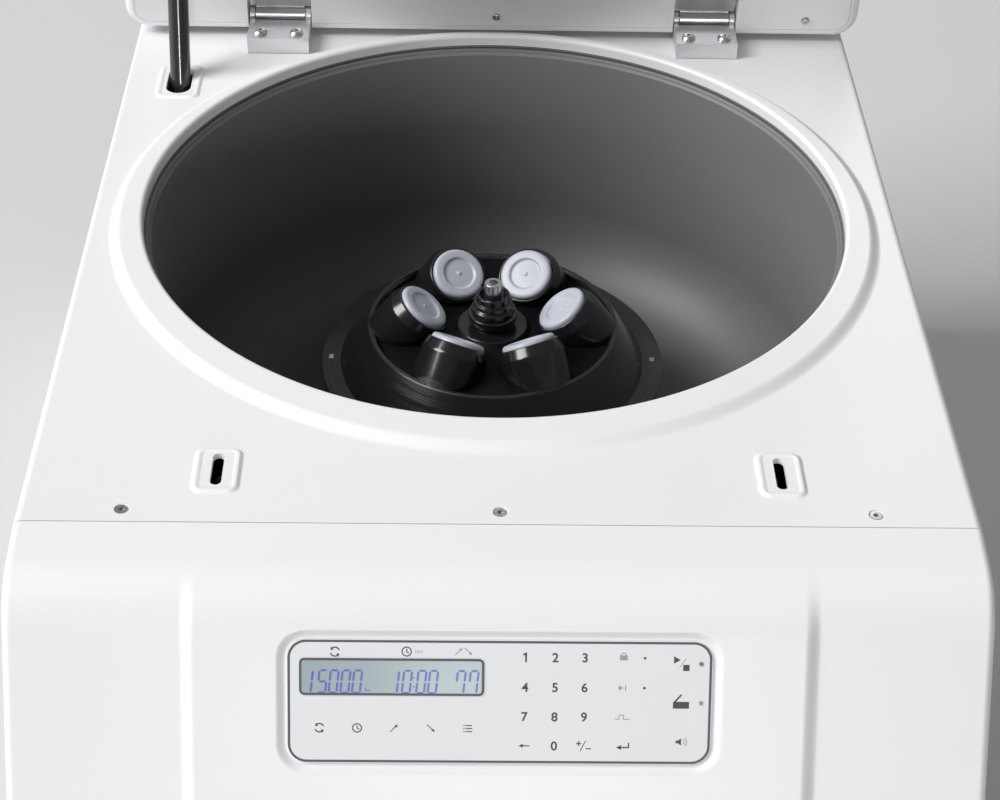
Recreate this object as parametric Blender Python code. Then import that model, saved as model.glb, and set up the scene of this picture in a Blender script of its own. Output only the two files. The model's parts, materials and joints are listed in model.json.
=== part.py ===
"""A refrigerated bench centrifuge with its lid open, built as an assembly of separate pieces.

Everything is in metres with +Z up. The origin is on the table under the middle of the footprint.
Most places are given from the bowl's axis and the top of the deck, because the lid, latches, hinges
and gas spring all sit around that opening. The operator stands at -Y.
"""

import math

import bmesh
import bpy
from mathutils import Matrix, Vector

# Housing
WIDTH = 0.540
FRONT_REACH = 0.443
REAR_REACH = 0.330
DECK_H = 0.330
SEAM_REACH = 0.328
WALL = 0.0025
SKIRT = 0.018
EDGE_R = 0.005
EDGE_STEPS = 3
GAP = 0.0003
OVERRUN = 0.004

# Feet and base pan
FOOT_H = 0.012
FOOT_R = 0.019
FOOT_FACE_SHARE = 0.86
FOOT_BEVEL_SHARE = 0.25
FOOT_INSET_X = 0.045
FOOT_INSET_Y = 0.050
PAN_RIM = 0.018
PAN_INSET = 0.020

# Deck around the bowl
DECK_T = 0.003
OPENING_R = 0.2354
RING_RISE = 0.004
RING_FLAT_R = 0.2490
RING_FLAT_SHIFT = 0.0085
RING_FOOT_R = 0.2570
RING_FOOT_SHIFT = 0.0110
RING_STEPS = 44
RAMP_STEPS = 2
LIP_DROP = 0.0045
LIP_T = 0.003
LIP_ROUND = 0.0040

# Bezels of the latch slots and of the gas spring's hole
LATCH_X = 0.161
LATCH_INSET = 0.045
LATCH_BEZEL_W = 0.026
LATCH_BEZEL_L = 0.041
SLOT_W = 0.0066
SLOT_L = 0.028
SPRING_X = 0.230
SPRING_HOLE_Y = 0.1655
SPRING_BEZEL_Y = 0.1645
SPRING_BEZEL_W = 0.032
SPRING_BEZEL_L = 0.044
SPRING_HOLE_W = 0.018
SPRING_HOLE_L = 0.038
BEZEL_RISE = 0.0024
BEZEL_ROUND = 0.0012
BEZEL_CORNER_R = 0.006
SLOT_END_SHARE = 0.999
CORNER_STEPS = 3

# Deck screws, countersunk
SCREW_X = 0.211
SCREW_INSET = 0.0105
SCREW_HEAD_R = 0.0040
SCREW_SHANK_R = 0.0019
SCREW_HEAD_H = 0.0022
SCREW_L = 0.012
SCREW_SUNK = 0.0002
SCREW_STEPS = 8
HEX_R = 0.0016
HEX_DEPTH = 0.0012

# Front panel, seen from the side: a flat brow, a sloping face, a nose and a face that draws back
BROW_L = 0.024
BROW_DROP = 0.0032
SLOPE_DEG = 27.0
FACE_SETBACK = 0.0355
FACE_DROP = 0.070
FACE_TOP_DROP = 0.029
FACE_LOW_DROP = 0.1175
NOSE_DROP = 0.163
TUCK_DROP = 0.262
BASE_TUCK = 0.023
CENTRE_PROUD = 0.003
CENTRE_HALF_W = 0.1655
CREASE_W = 0.009
CREASE_STEPS = 3
CURVE_STEPS = 4

# Control foil and its window
FOIL_W = 0.231
FOIL_H = 0.070
FOIL_T = 0.0008
FOIL_CORNER_R = 0.0105
FOIL_CENTRE_DROP = 0.062
RECESS_DEPTH = 0.0020
RECESS_MARGIN = 0.0006
RECESS_SLOPE_W = 0.006
RECESS_STEPS = 4
WINDOW_W = 0.0990
WINDOW_H = 0.0196
WINDOW_T = 0.0011
WINDOW_CORNER_R = 0.002
WINDOW_LEFT = 0.0072
WINDOW_TOP = 0.0112

# Bowl, gasket and insulation
BOWL_R = 0.231
BOWL_DEPTH = 0.205
BOWL_CORNER_R = 0.062
BOWL_T = 0.0018
BOWL_STEPS = 32
BOWL_HUB_R = 0.050
BOWL_HUB_RISE = 0.009
BOWL_HOLE_R = 0.0215
BEAD_R = 0.0021
BEAD_OUT_SHARE = 1.6
BEAD_TOP_DROP = 0.0066
BEAD_STEPS = 2
FLANGE_R = 0.2415
GASKET_INNER_R = 0.2346
GASKET_T = 0.0015
FOAM_T = 0.0090
FOAM_TOP_DROP = 0.013
FOAM_HOLE_R = 0.032
FOAM_BEVEL_SHARE = 2 - math.sqrt(2)
ARC_STEPS = 3

# Drive
MOTOR_R = 0.058
MOTOR_RIM_SHARE = 0.9
MOTOR_BASE_H = 0.030
MOTOR_SHOULDER_DROP = 0.224
MOTOR_NECK_TOP_DROP = 0.191
MOTOR_BORE_DROP = 0.272
MOTOR_STEPS = 16
SHAFT_R = 0.0082
SHAFT_TIP_SHARE = 0.85
SHAFT_FOOT_DROP = 0.268
SHAFT_COLLAR_R = 0.014
SHAFT_COLLAR_H = 0.003
SHAFT_TOP_DROP = 0.105
SHAFT_STEPS = 14
THREAD_R = 0.0040
THREAD_DEPTH = 0.026
MOUNT_PLATE_W = 0.150
MOUNT_PLATE_T = 0.005
MOUNT_CORNER_R = 0.020
BUFFER_R = 0.012
BUFFER_PITCH = 0.110

# Rotor, heights as drops below the deck
ROTOR_R = 0.121
RIM_DROP = 0.1274
RIM_T = 0.0036
RIM_W = 0.014
ROTOR_SIDE_R = 0.1190
CONE_TOP_R = 0.0875
CONE_TOP_DROP = 0.0965
CONE_LAND = 0.003
CROWN_DROP = 0.1012
HUB_R = 0.024
HUB_DROP = 0.0970
SKIRT_DROP = 0.156
ROTOR_FOOT_R = 0.088
ROTOR_FOOT_DROP = 0.180
ROTOR_CHINE_SHARE = 0.32
ROTOR_HUB_FOOT_R = 0.030
ROTOR_HUB_FOOT_DROP = 0.1865
ROTOR_UNDER_DROP = 0.176
ROTOR_STEPS = 32

# Tubes in the rotor, in the frame of each tube: its origin is the middle of the cap's top
TUBE_COUNT = 6
TUBE_TILT_DEG = 37.0
TUBE_PITCH_R = 0.0466
CAP_DROP = 0.0820
TUBE_R = 0.0170
TUBE_L = 0.086
TUBE_STEPS = 12
TUBE_END_STEPS = 2
NECK_R = 0.0150
CAP_R = 0.0187
CAP_ROOM = 0.0007
CAP_T = 0.0070
CAP_ROUND = 0.0012
CAP_RECESS_R = 0.0130
CAP_RECESS_DEPTH = 0.0016
CAP_NUB_R = 0.0022
CAP_NUB_H = 0.0009
CAP_SOCKET_DEPTH = 0.0045
BOSS_R = 0.0235
BOSS_TOP_R = 0.0206
BOSS_TOP = 0.0030
BOSS_CHAMFER = 0.0075
BOSS_DEPTH = 0.036
BOSS_STEPS = 12

# Tie-down nut and bolt on the rotor
NUT_FOOT_R = 0.0125
NUT_FOOT_H = 0.0068
NUT_FLANGE_R = 0.0170
NUT_FLANGE_H = 0.0045
NUT_R = 0.0155
NUT_TAPER = 0.0012
NUT_GROOVE = 0.0012
NUT_RIBS = 3
NUT_GROOVE_SHARE = 0.2
NUT_TOP_DROP = 0.0720
NUT_TOP_R = 0.0116
NUT_CUP_R = 0.0092
NUT_CUP_DEPTH = 0.0048
BOLT_HEAD_R = 0.0061
BOLT_TOP_DROP = 0.0625
BOLT_HEX_R = 0.0034
BOLT_HEX_DEPTH = 0.0060
BOLT_EDGE_SHARE = 0.9
BOLT_ENGAGED_SHARE = 0.8

# Lid, closed: rests this far above the deck, and turns on an axis at its rear
HINGE_REACH = 0.245
HINGE_RISE = 0.0155
LID_OPEN_DEG = 80.0
LID_GAP = 0.006
LID_W = 0.554
LID_T = 0.060
LID_FRONT_REACH = 0.326
LID_TAIL = 0.0094
LID_CORNER_R = 0.048
LID_REAR_CORNER_R = 0.018
LID_CORNER_STEPS = 5
LID_EDGE_R = 0.016
LID_RIM_R = 0.006
LID_RIM_STEPS = 2
LID_WALL = 0.0070
LINER_T = 0.0025
PLUG_R = 0.227
PLUG_FLOOR_R = 0.204
PLUG_DEPTH = 0.0135
PLUG_INNER_SHARES = (0.2, 0.8)
PLUG_STEPS = 4
PLUG_TURN_STEPS = 40
PLUG_HOLE_STEPS = 32
POCKET_CLEAR = 0.0010
POCKET_L = 0.055

# Hinges
HINGE_X = 0.161
HINGE_W = 0.046
BLOCK_FRONT_REACH = 0.2095
BLOCK_H = 0.0125
KNUCKLE_R = 0.0055
KNUCKLE_END_W = 0.0040
KNUCKLE_STEPS = 12
LEAF_T = 0.0035
LEAF_LIFT = 0.0005
LEAF_L = 0.052
PIN_R = 0.0022

# Lid strikers and the latch that holds them
STRIKER_T = 0.0040
STRIKER_L = 0.020
STRIKER_DROP = 0.042
STRIKER_NOTCH_TOP_DROP = 0.0235
STRIKER_NOTCH_LOW_DROP = 0.0315
STRIKER_NOTCH_DEPTH = 0.0065
LATCH_SHAFT_R = 0.004
LATCH_SHAFT_BACK = 0.026
LATCH_SHAFT_DROP = 0.044
LATCH_SHAFT_HALF_L = 0.187
LATCH_STEPS = 12
LATCH_OPEN_DEG = 25.0
HOOK_T = 0.005
HOOK_TOP = 0.0195
HOOK_UNDER = 0.0140
HOOK_NOSE = 0.0210
HOOK_BACK = 0.0080
BEARING_X = 0.178
BEARING_T = 0.006
BEARING_L = 0.024
BEARING_DROP = 0.056
LOCK_MOTOR_L = 0.048
LOCK_MOTOR_W = 0.028
LOCK_BORE_L = 0.008

# Gas spring between the lid and the housing's left wall
SPRING_LID_BACK = 0.070
SPRING_LID_DROP = 0.038
SPRING_FOOT_Y = 0.1125
SPRING_FOOT_DROP = 0.181
SPRING_TUBE_R = 0.0075
SPRING_TUBE_TOP = 0.0185
SPRING_TUBE_END = 0.158
SPRING_BORE_R = 0.0045
SPRING_BORE_TOP = 0.022
SPRING_ROD_R = 0.0040
SPRING_ROD_TOP = 0.132
SPRING_NECK_R = 0.0048
SPRING_EYE_R = 0.0075
SPRING_EYE_W = 0.007
SPRING_STUD_R = 0.0036
SPRING_EYE_BORE_R = 0.0041
SPRING_STEPS = 12
SPRING_CRIMP = 0.0012
SPRING_PLATE_T = 0.002
SPRING_PLATE_W = 0.009
SPRING_STUD_GAP = 0.0015
FOOT_EYE_W = 0.009
FOOT_STUD_R = 0.005
FOOT_PLATE_W = 0.040
FOOT_PLATE_T = 0.003

# Cooling unit behind the bowl
COMPRESSOR_X = 0.185
COMPRESSOR_Y = 0.255
COMPRESSOR_R = 0.058
COMPRESSOR_H = 0.165
COMPRESSOR_DOME_SHARE = 0.45
COMPRESSOR_BASE_SHARE = 0.8
COMPRESSOR_FOOT_SHARE = 0.85
COMPRESSOR_FOOT_W = 0.130
COMPRESSOR_FOOT_T = 0.003
COOL_X = 0.172
COOL_H = 0.112
CONDENSER_W = 0.156
CONDENSER_FRONT_Y = 0.236
CONDENSER_T = 0.030
CONDENSER_FINS = 9
FIN_SLOT_SHARE = 0.45
FIN_SLOT_DEPTH = 0.010
FAN_R = 0.066
FAN_HUB_R = 0.022
FAN_T = 0.018
FAN_BLADES = 7
FAN_BLADE_T = 0.0018
FAN_PITCH_DEG = 38.0
FAN_ROOT_SHARE = 0.9
FAN_SWEEP_SHARE = 0.72
FAN_TIP_SHARE = 0.6
FAN_BORE_SHARE = 0.35
FAN_SHAFT_SHARE = 0.3
FAN_Y = 0.298
FAN_MOTOR_R = 0.026
FAN_MOTOR_T = 0.018
FAN_SHAFT_R = 0.0035
FAN_STEPS = 14

# Openings in the panels
VENT_COUNT = 8
VENT_L = 0.110
VENT_H = 0.004
VENT_PITCH = 0.013
VENT_BASE_H = 0.065
VENT_CENTRE_Y = 0.235
FLANGE_W = 0.012
GRILLE_RINGS = 3
GRILLE_SPOKES = 4
GRILLE_INNER_R = 0.014
GRILLE_SLOT_W = 0.008
GRILLE_PITCH = 0.0170
GRILLE_SPOKE_DEG = 16.0
GRILLE_STEPS = 3

# Mains inlet with its rocker switch, in the rear panel
INLET_X = 0.030
INLET_H = 0.085
INLET_W = 0.034
INLET_L = 0.054
INLET_FLANGE = 0.004
INLET_DEPTH = 0.024
INLET_T = 0.002
SOCKET_W = 0.0245
SOCKET_H = 0.0165
SOCKET_DEPTH = 0.017
SOCKET_DROP = 0.012
BLADE_W = 0.002
BLADE_H = 0.004
BLADE_L = 0.012
BLADE_PITCH = 0.007
BLADE_RISE = 0.003
SWITCH_W = 0.0205
SWITCH_H = 0.0130
SWITCH_DEPTH = 0.0150
SWITCH_RISE = 0.0125
ROCKER_CLEAR = 0.0008
ROCKER_TILT_DEG = 10.0
ROCKER_PIVOT_DEPTH = 0.0065
ROCKER_R = 0.0095
ROCKER_FACE_DEG = 40.0
ROCKER_FOOT_DEG = 40.0
ROCKER_DIP = 0.0012
ROCKER_STEPS = 4

# Worked out from the sizes above
HALF_W = WIDTH / 2
LATCH_REACH = SEAM_REACH - LATCH_INSET
LATCH_SHAFT_REACH = LATCH_REACH - LATCH_SHAFT_BACK
SCREW_REACH = SEAM_REACH - SCREW_INSET
BROW_REACH = SEAM_REACH + BROW_L
FACE_REACH = FRONT_REACH - FACE_SETBACK
BASE_REACH = FRONT_REACH - BASE_TUCK
PAN_FRONT_REACH = BASE_REACH - PAN_INSET
BASE_DROP = DECK_H - FOOT_H - GAP
PAN_TOP_DROP = BASE_DROP - WALL
SLOPE = math.radians(SLOPE_DEG)
TILT = math.radians(TUBE_TILT_DEG)
LID_OPEN = math.radians(LID_OPEN_DEG)
ROCKER_TILT = math.radians(ROCKER_TILT_DEG)
ROCKER_FACE_TURN = math.radians(ROCKER_FACE_DEG)
ROCKER_FOOT_TURN = math.radians(ROCKER_FOOT_DEG)
ROCKER_RISE = ROCKER_R * math.sin(ROCKER_FACE_TURN + ROCKER_TILT)
BACK_REACH = REAR_REACH + GAP + INLET_T - ROCKER_PIVOT_DEPTH + ROCKER_RISE
BOWL_Y = (FRONT_REACH - BACK_REACH) / 2
QUARTER = math.pi / 2
SMOOTH_ANGLE = math.radians(32)

SIDES = {"left": -1, "right": 1}
X_AXIS = Vector((1, 0, 0))


def at_bowl(x, y, z):
    """A place given from the bowl's axis and the deck's top."""
    return Vector((x, y + BOWL_Y, z + DECK_H))


def on_floor(x, y, height):
    """A place given from the bowl's axis and the table."""
    return Vector((x, y + BOWL_Y, height))


# Materials


def material(name, colour, roughness, metallic=0.0):
    mat = bpy.data.materials.get(name) or bpy.data.materials.new(name)
    mat.use_nodes = True
    shader = mat.node_tree.nodes["Principled BSDF"]
    shader.inputs["Base Color"].default_value = (*colour, 1)
    shader.inputs["Roughness"].default_value = roughness
    shader.inputs["Metallic"].default_value = metallic
    mat.diffuse_color = (*colour, 1)
    return mat


# Shapes: each is a pair of a list of points and a list of faces


def lathe(profile, steps, closed=True):
    """Turns (radius, height) points about Z. An open profile starts and ends on the axis."""
    points = []
    rings = []
    for radius, height in profile:
        if radius == 0:
            rings.append([len(points)])
            points.append((0, 0, height))
            continue
        rings.append(list(range(len(points), len(points) + steps)))
        for i in range(steps):
            turn = math.tau * i / steps
            points.append((radius * math.cos(turn), radius * math.sin(turn), height))
    faces = []
    pairs = list(zip(rings, rings[1:]))
    if closed:
        pairs.append((rings[-1], rings[0]))
    for low, high in pairs:
        for i in range(steps):
            j = (i + 1) % steps
            if len(low) == 1 and len(high) == 1:
                continue
            if len(low) == 1:
                faces.append((low[0], high[j], high[i]))
            elif len(high) == 1:
                faces.append((low[i], low[j], high[0]))
            else:
                faces.append((low[i], low[j], high[j], high[i]))
    return points, faces


def loft(rings):
    """Joins rings with the same number of points and closes both ends."""
    count = len(rings[0])
    points = [tuple(p) for ring in rings for p in ring]
    faces = [tuple(range(count))]
    for k in range(len(rings) - 1):
        start = k * count
        for i in range(count):
            j = (i + 1) % count
            faces.append((start + i, start + j, start + count + j, start + count + i))
    faces.append(tuple(range(len(points) - count, len(points))))
    return points, faces


def prism(outline, low, high):
    """Raises a flat (x, y) outline between two heights."""
    return loft([[(x, y, low) for x, y in outline], [(x, y, high) for x, y in outline]])


def prism_x(outline, low, high):
    """Draws a flat (y, z) outline along X."""
    return loft([[(low, y, z) for y, z in outline], [(high, y, z) for y, z in outline]])


def prism_y(outline, low, high):
    """Draws a flat (x, z) outline along Y."""
    return loft([[(x, low, z) for x, z in outline], [(x, high, z) for x, z in outline]])


def box(low, high):
    outline = [(low[0], low[1]), (high[0], low[1]), (high[0], high[1]), (low[0], high[1])]
    return prism(outline, low[2], high[2])


def moved(shape, matrix):
    points, faces = shape
    return [tuple(matrix @ Vector(p)) for p in points], faces


def shifted(shape, offset):
    return moved(shape, Matrix.Translation(offset))


def along_x(shape):
    """Turns a shape made about Z so that its axis lies along X."""
    return moved(shape, Matrix.Rotation(QUARTER, 4, "Y"))


def along_y(shape):
    """Turns a shape made about Z so that its axis lies along Y, its top to the rear."""
    return moved(shape, Matrix.Rotation(-QUARTER, 4, "X"))


def twisted(shape, steps):
    """Turns a shape made about Z by a third of a step, so that its edges miss its neighbour's."""
    return moved(shape, Matrix.Rotation(math.tau / steps / 3, 4, "Z"))


def cylinder(radius, low, high, steps):
    return lathe([(0, low), (radius, low), (radius, high), (0, high)], steps, closed=False)


def rounded_rect(low_x, high_x, low_y, high_y, front_r, steps=CORNER_STEPS, rear_r=None):
    """A rectangle with round corners. The rear ones are like the front ones unless rear_r is given."""
    if rear_r is None:
        rear_r = front_r
    corners = [
        (high_x - front_r, low_y + front_r, front_r, -QUARTER),
        (high_x - rear_r, high_y - rear_r, rear_r, 0),
        (low_x + rear_r, high_y - rear_r, rear_r, QUARTER),
        (low_x + front_r, low_y + front_r, front_r, math.pi),
    ]
    outline = []
    for x, y, radius, start in corners:
        for i in range(steps + 1):
            turn = start + QUARTER * i / steps
            outline.append((x + radius * math.cos(turn), y + radius * math.sin(turn)))
    return outline


def slot_outline(width, length, centre_x, centre_y):
    """A slot with round ends, long along Y."""
    half_w = width / 2
    half_l = length / 2
    return rounded_rect(
        centre_x - half_w,
        centre_x + half_w,
        centre_y - half_l,
        centre_y + half_l,
        half_w * SLOT_END_SHARE,
    )


def circle(radius, centre_y, steps):
    return [
        (radius * math.cos(math.tau * i / steps), centre_y + radius * math.sin(math.tau * i / steps))
        for i in range(steps)
    ]


def bezier(start, control, end, steps):
    points = []
    for i in range(steps + 1):
        t = i / steps
        points.append(
            tuple(
                a * (1 - t) ** 2 + 2 * b * t * (1 - t) + c * t**2 for a, b, c in zip(start, control, end)
            )
        )
    return points


def smoothstep(t):
    t = min(max(t, 0), 1)
    return t * t * (3 - 2 * t)


# Objects


def empty(name, place, turn=None, parent=None):
    pivot = bpy.data.objects.new(name, None)
    bpy.context.scene.collection.objects.link(pivot)
    pivot.location = place
    if turn is not None:
        pivot.rotation_euler = turn
    pivot.parent = parent
    return pivot


def piece(name, shape, mat, parent=None, smooth=True):
    """One sub-part. Its points are in its parent's frame, and world coordinates without one."""
    points, faces = shape
    mesh = bpy.data.meshes.new(name)
    mesh.from_pydata(points, [], faces)
    shell = bmesh.new()
    shell.from_mesh(mesh)
    bmesh.ops.recalc_face_normals(shell, faces=shell.faces)
    shell.to_mesh(mesh)
    shell.free()
    if smooth:
        mesh.shade_smooth()
        mesh.set_sharp_from_angle(angle=SMOOTH_ANGLE)
    if mat is not None:
        mesh.materials.append(mat)
    obj = bpy.data.objects.new(name, mesh)
    bpy.context.scene.collection.objects.link(obj)
    obj.parent = parent
    return obj


def combine(target, shape, operation, parent=None):
    """Cuts a shape from a piece, or joins it on, with a hidden helper object."""
    count = len(target.modifiers) + 1
    helper = piece(f"{target.name}_{operation.lower()}_{count}", shape, None, parent, smooth=False)
    helper.hide_render = True
    helper.display_type = "WIRE"
    boolean = target.modifiers.new(f"{operation.title()} {count}", "BOOLEAN")
    boolean.operation = operation
    boolean.object = helper
    boolean.solver = "EXACT"
    return target


def cut(target, shape, parent=None):
    return combine(target, shape, "DIFFERENCE", parent)


def join(target, shape, parent=None):
    return combine(target, shape, "UNION", parent)


# Base


def make_base(steel, rubber):
    half_w = HALF_W - WALL - GAP
    rear = REAR_REACH - WALL - GAP
    low = at_bowl(-half_w, -PAN_FRONT_REACH, -BASE_DROP)
    high = at_bowl(half_w, rear, -BASE_DROP + PAN_RIM)
    pan = piece("base_pan", box(low, high), steel, smooth=False)
    wall = Vector((WALL, WALL, WALL))
    lift = Vector((0, 0, OVERRUN))
    cut(pan, box(low + wall, high - Vector((WALL, WALL, 0)) + lift))
    number = 0
    for y in (-PAN_FRONT_REACH + FOOT_INSET_Y, rear - FOOT_INSET_Y):
        for side in SIDES.values():
            number += 1
            face_r = FOOT_R * FOOT_FACE_SHARE
            shoulder = FOOT_H * FOOT_BEVEL_SHARE
            profile = [(0, 0), (face_r, 0), (FOOT_R, shoulder), (FOOT_R, FOOT_H), (0, FOOT_H)]
            shape = lathe(profile, LATCH_STEPS, closed=False)
            place = on_floor(side * (half_w - FOOT_INSET_X), y, 0)
            piece(f"foot_{number}", shifted(shape, place), rubber)


# Panels


def vent_slots(panel, side):
    """Horizontal air slots through a side panel, near its rear."""
    for i in range(VENT_COUNT):
        height = VENT_BASE_H + i * VENT_PITCH
        low = on_floor(side * HALF_W - WALL - OVERRUN, VENT_CENTRE_Y - VENT_L / 2, height)
        high = on_floor(side * HALF_W + WALL + OVERRUN, VENT_CENTRE_Y + VENT_L / 2, height + VENT_H)
        cut(panel, box(low, high))


def make_side_panels(paint):
    for name, side in SIDES.items():
        outer = side * HALF_W
        inner = side * (HALF_W - WALL)
        flange = side * (HALF_W - WALL - FLANGE_W)
        top = -SKIRT - GAP
        bottom = -BASE_DROP
        outline = [
            (outer, bottom),
            (outer, top),
            (flange, top),
            (flange, top - WALL),
            (inner, top - WALL),
            (inner, bottom),
        ]
        shape = prism_y(outline, -SEAM_REACH + GAP, REAR_REACH - WALL - GAP)
        panel = piece(f"side_panel_{name}", shifted(shape, at_bowl(0, 0, 0)), paint, smooth=False)
        vent_slots(panel, side)


def grille_slot(inner_r, spoke):
    """One curved slot of the fan grille, as an (x, z) outline."""
    half_gap = math.radians(GRILLE_SPOKE_DEG) / 2 * GRILLE_INNER_R * 2 / (inner_r + GRILLE_INNER_R)
    start = math.tau * spoke / GRILLE_SPOKES + half_gap
    end = math.tau * (spoke + 1) / GRILLE_SPOKES - half_gap
    turns = [start + (end - start) * i / GRILLE_STEPS for i in range(GRILLE_STEPS + 1)]
    outer_r = inner_r + GRILLE_SLOT_W
    outline = [(inner_r * math.cos(t), inner_r * math.sin(t)) for t in turns]
    outline += [(outer_r * math.cos(t), outer_r * math.sin(t)) for t in reversed(turns)]
    return outline


def make_rear_panel(paint):
    low = at_bowl(-HALF_W, REAR_REACH - WALL, -BASE_DROP)
    high = at_bowl(HALF_W, REAR_REACH, -SKIRT - GAP)
    panel = piece("rear_panel", box(low, high), paint, smooth=False)
    centre = on_floor(COOL_X, REAR_REACH, COOL_H)
    for ring in range(GRILLE_RINGS):
        for spoke in range(GRILLE_SPOKES):
            outline = grille_slot(GRILLE_INNER_R + ring * GRILLE_PITCH, spoke)
            shape = prism_y(outline, -WALL - OVERRUN, OVERRUN)
            cut(panel, shifted(shape, centre))
    half_w = INLET_W / 2 - INLET_FLANGE
    half_l = INLET_L / 2 - INLET_FLANGE
    middle = on_floor(INLET_X, REAR_REACH, INLET_H)
    hole_low = Vector((-half_w, -WALL - OVERRUN, -half_l))
    hole_high = Vector((half_w, OVERRUN, half_l))
    cut(panel, shifted(box(hole_low, hole_high), middle))
    return panel


def deck_ring(inset, height):
    """The deck's outline, drawn in at the sides and rear but not at the seam in front."""
    half = HALF_W - inset
    rear = REAR_REACH - inset
    corners = [(-half, -SEAM_REACH), (half, -SEAM_REACH), (half, rear), (-half, rear)]
    return [at_bowl(x, y, height) for x, y in corners]


def bezel(width, length, centre_x, centre_y):
    """A low raised frame with soft edges round a hole in the deck."""
    half_w = width / 2
    half_l = length / 2
    rings = []
    for inset, height in ((0, -DECK_T / 2), (0, BEZEL_RISE - BEZEL_ROUND), (BEZEL_ROUND, BEZEL_RISE)):
        outline = rounded_rect(
            centre_x - half_w + inset,
            centre_x + half_w - inset,
            centre_y - half_l + inset,
            centre_y + half_l - inset,
            BEZEL_CORNER_R,
            CORNER_STEPS,
        )
        rings.append([at_bowl(x, y, height) for x, y in outline])
    return loft(rings)


def ring_pad(margin=0):
    """The raised ring round the bowl. It sits forward of the bowl, to leave room for the hinges."""
    rings = []
    for i in range(RAMP_STEPS + 1):
        t = i / RAMP_STEPS
        radius = RING_FOOT_R + (RING_FLAT_R - RING_FOOT_R) * t + margin
        centre_y = -RING_FOOT_SHIFT + (RING_FOOT_SHIFT - RING_FLAT_SHIFT) * t
        height = RING_RISE * smoothstep(t) + margin if i else -DECK_T / 4
        rings.append([at_bowl(x, y, height) for x, y in circle(radius, centre_y, RING_STEPS)])
    return loft(rings)


def opening_cutter():
    """Cuts the round opening and softens its upper edge."""
    profile = [(0, -LIP_DROP - OVERRUN), (OPENING_R, -LIP_DROP - OVERRUN)]
    for i in range(EDGE_STEPS):
        turn = QUARTER * i / (EDGE_STEPS - 1)
        profile.append(
            (OPENING_R + LIP_ROUND * (1 - math.cos(turn)), RING_RISE - LIP_ROUND + LIP_ROUND * math.sin(turn))
        )
    profile += [(OPENING_R + LIP_ROUND, RING_RISE + OVERRUN), (0, RING_RISE + OVERRUN)]
    return shifted(lathe(profile, RING_STEPS, closed=False), at_bowl(0, 0, 0))


def screw_places():
    return [(-SCREW_X, -SCREW_REACH), (0, -SCREW_REACH), (SCREW_X, -SCREW_REACH)]


def countersunk(clearance, bottom):
    """The outline of a countersunk screw, or with a clearance the hole that it sits in."""
    return [
        (0, bottom),
        (SCREW_SHANK_R + clearance, bottom),
        (SCREW_SHANK_R + clearance, -SCREW_SUNK - SCREW_HEAD_H),
        (SCREW_HEAD_R + clearance, -SCREW_SUNK),
    ]


def make_deck(paint):
    rings = [deck_ring(0, -SKIRT), deck_ring(0, -EDGE_R)]
    for i in range(1, EDGE_STEPS + 1):
        turn = QUARTER * i / EDGE_STEPS
        rings.append(deck_ring(EDGE_R * (1 - math.cos(turn)), -EDGE_R * (1 - math.sin(turn))))
    deck = piece("top_deck", loft(rings), paint)
    low = at_bowl(-HALF_W + WALL, -SEAM_REACH + WALL, -SKIRT - OVERRUN)
    high = at_bowl(HALF_W - WALL, REAR_REACH - WALL, -DECK_T)
    cut(deck, box(low, high))
    join(deck, ring_pad())
    lip_inner = OPENING_R - LIP_T
    lip_outer = OPENING_R + LIP_T
    lip = [(lip_inner, -LIP_DROP), (lip_outer, -LIP_DROP), (lip_outer, -DECK_T / 2), (lip_inner, -DECK_T / 2)]
    join(deck, shifted(twisted(lathe(lip, RING_STEPS), RING_STEPS), at_bowl(0, 0, 0)))
    for side in SIDES.values():
        join(deck, bezel(LATCH_BEZEL_W, LATCH_BEZEL_L, side * LATCH_X, -LATCH_REACH))
    join(deck, bezel(SPRING_BEZEL_W, SPRING_BEZEL_L, -SPRING_X, SPRING_BEZEL_Y))
    cut(deck, opening_cutter())
    holes = [slot_outline(SLOT_W, SLOT_L, side * LATCH_X, -LATCH_REACH) for side in SIDES.values()]
    holes.append(slot_outline(SPRING_HOLE_W, SPRING_HOLE_L, -SPRING_X, SPRING_HOLE_Y))
    for outline in holes:
        shape = prism(outline, -DECK_T - OVERRUN, BEZEL_RISE + OVERRUN)
        cut(deck, shifted(shape, at_bowl(0, 0, 0)))
    for x, y in screw_places():
        profile = countersunk(GAP, -DECK_T - OVERRUN) + [(SCREW_HEAD_R + GAP, OVERRUN), (0, OVERRUN)]
        cut(deck, shifted(lathe(profile, SCREW_STEPS, closed=False), at_bowl(x, y, 0)))
    return deck


def make_deck_screws(steel):
    for number, (x, y) in enumerate(screw_places(), 1):
        profile = countersunk(0, -SCREW_L) + [(0, -SCREW_SUNK)]
        screw = piece(
            f"deck_screw_{number}",
            shifted(lathe(profile, SCREW_STEPS, closed=False), at_bowl(x, y, 0)),
            steel,
        )
        socket = cylinder(HEX_R, -SCREW_SUNK - HEX_DEPTH, OVERRUN, 6)
        cut(screw, shifted(socket, at_bowl(x, y, 0)))


# Front panel


def face_reach(drop):
    """How far the sloping face is from the bowl's axis at a given drop below the deck."""
    return FACE_REACH + (drop - FACE_DROP) * math.tan(SLOPE)


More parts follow.
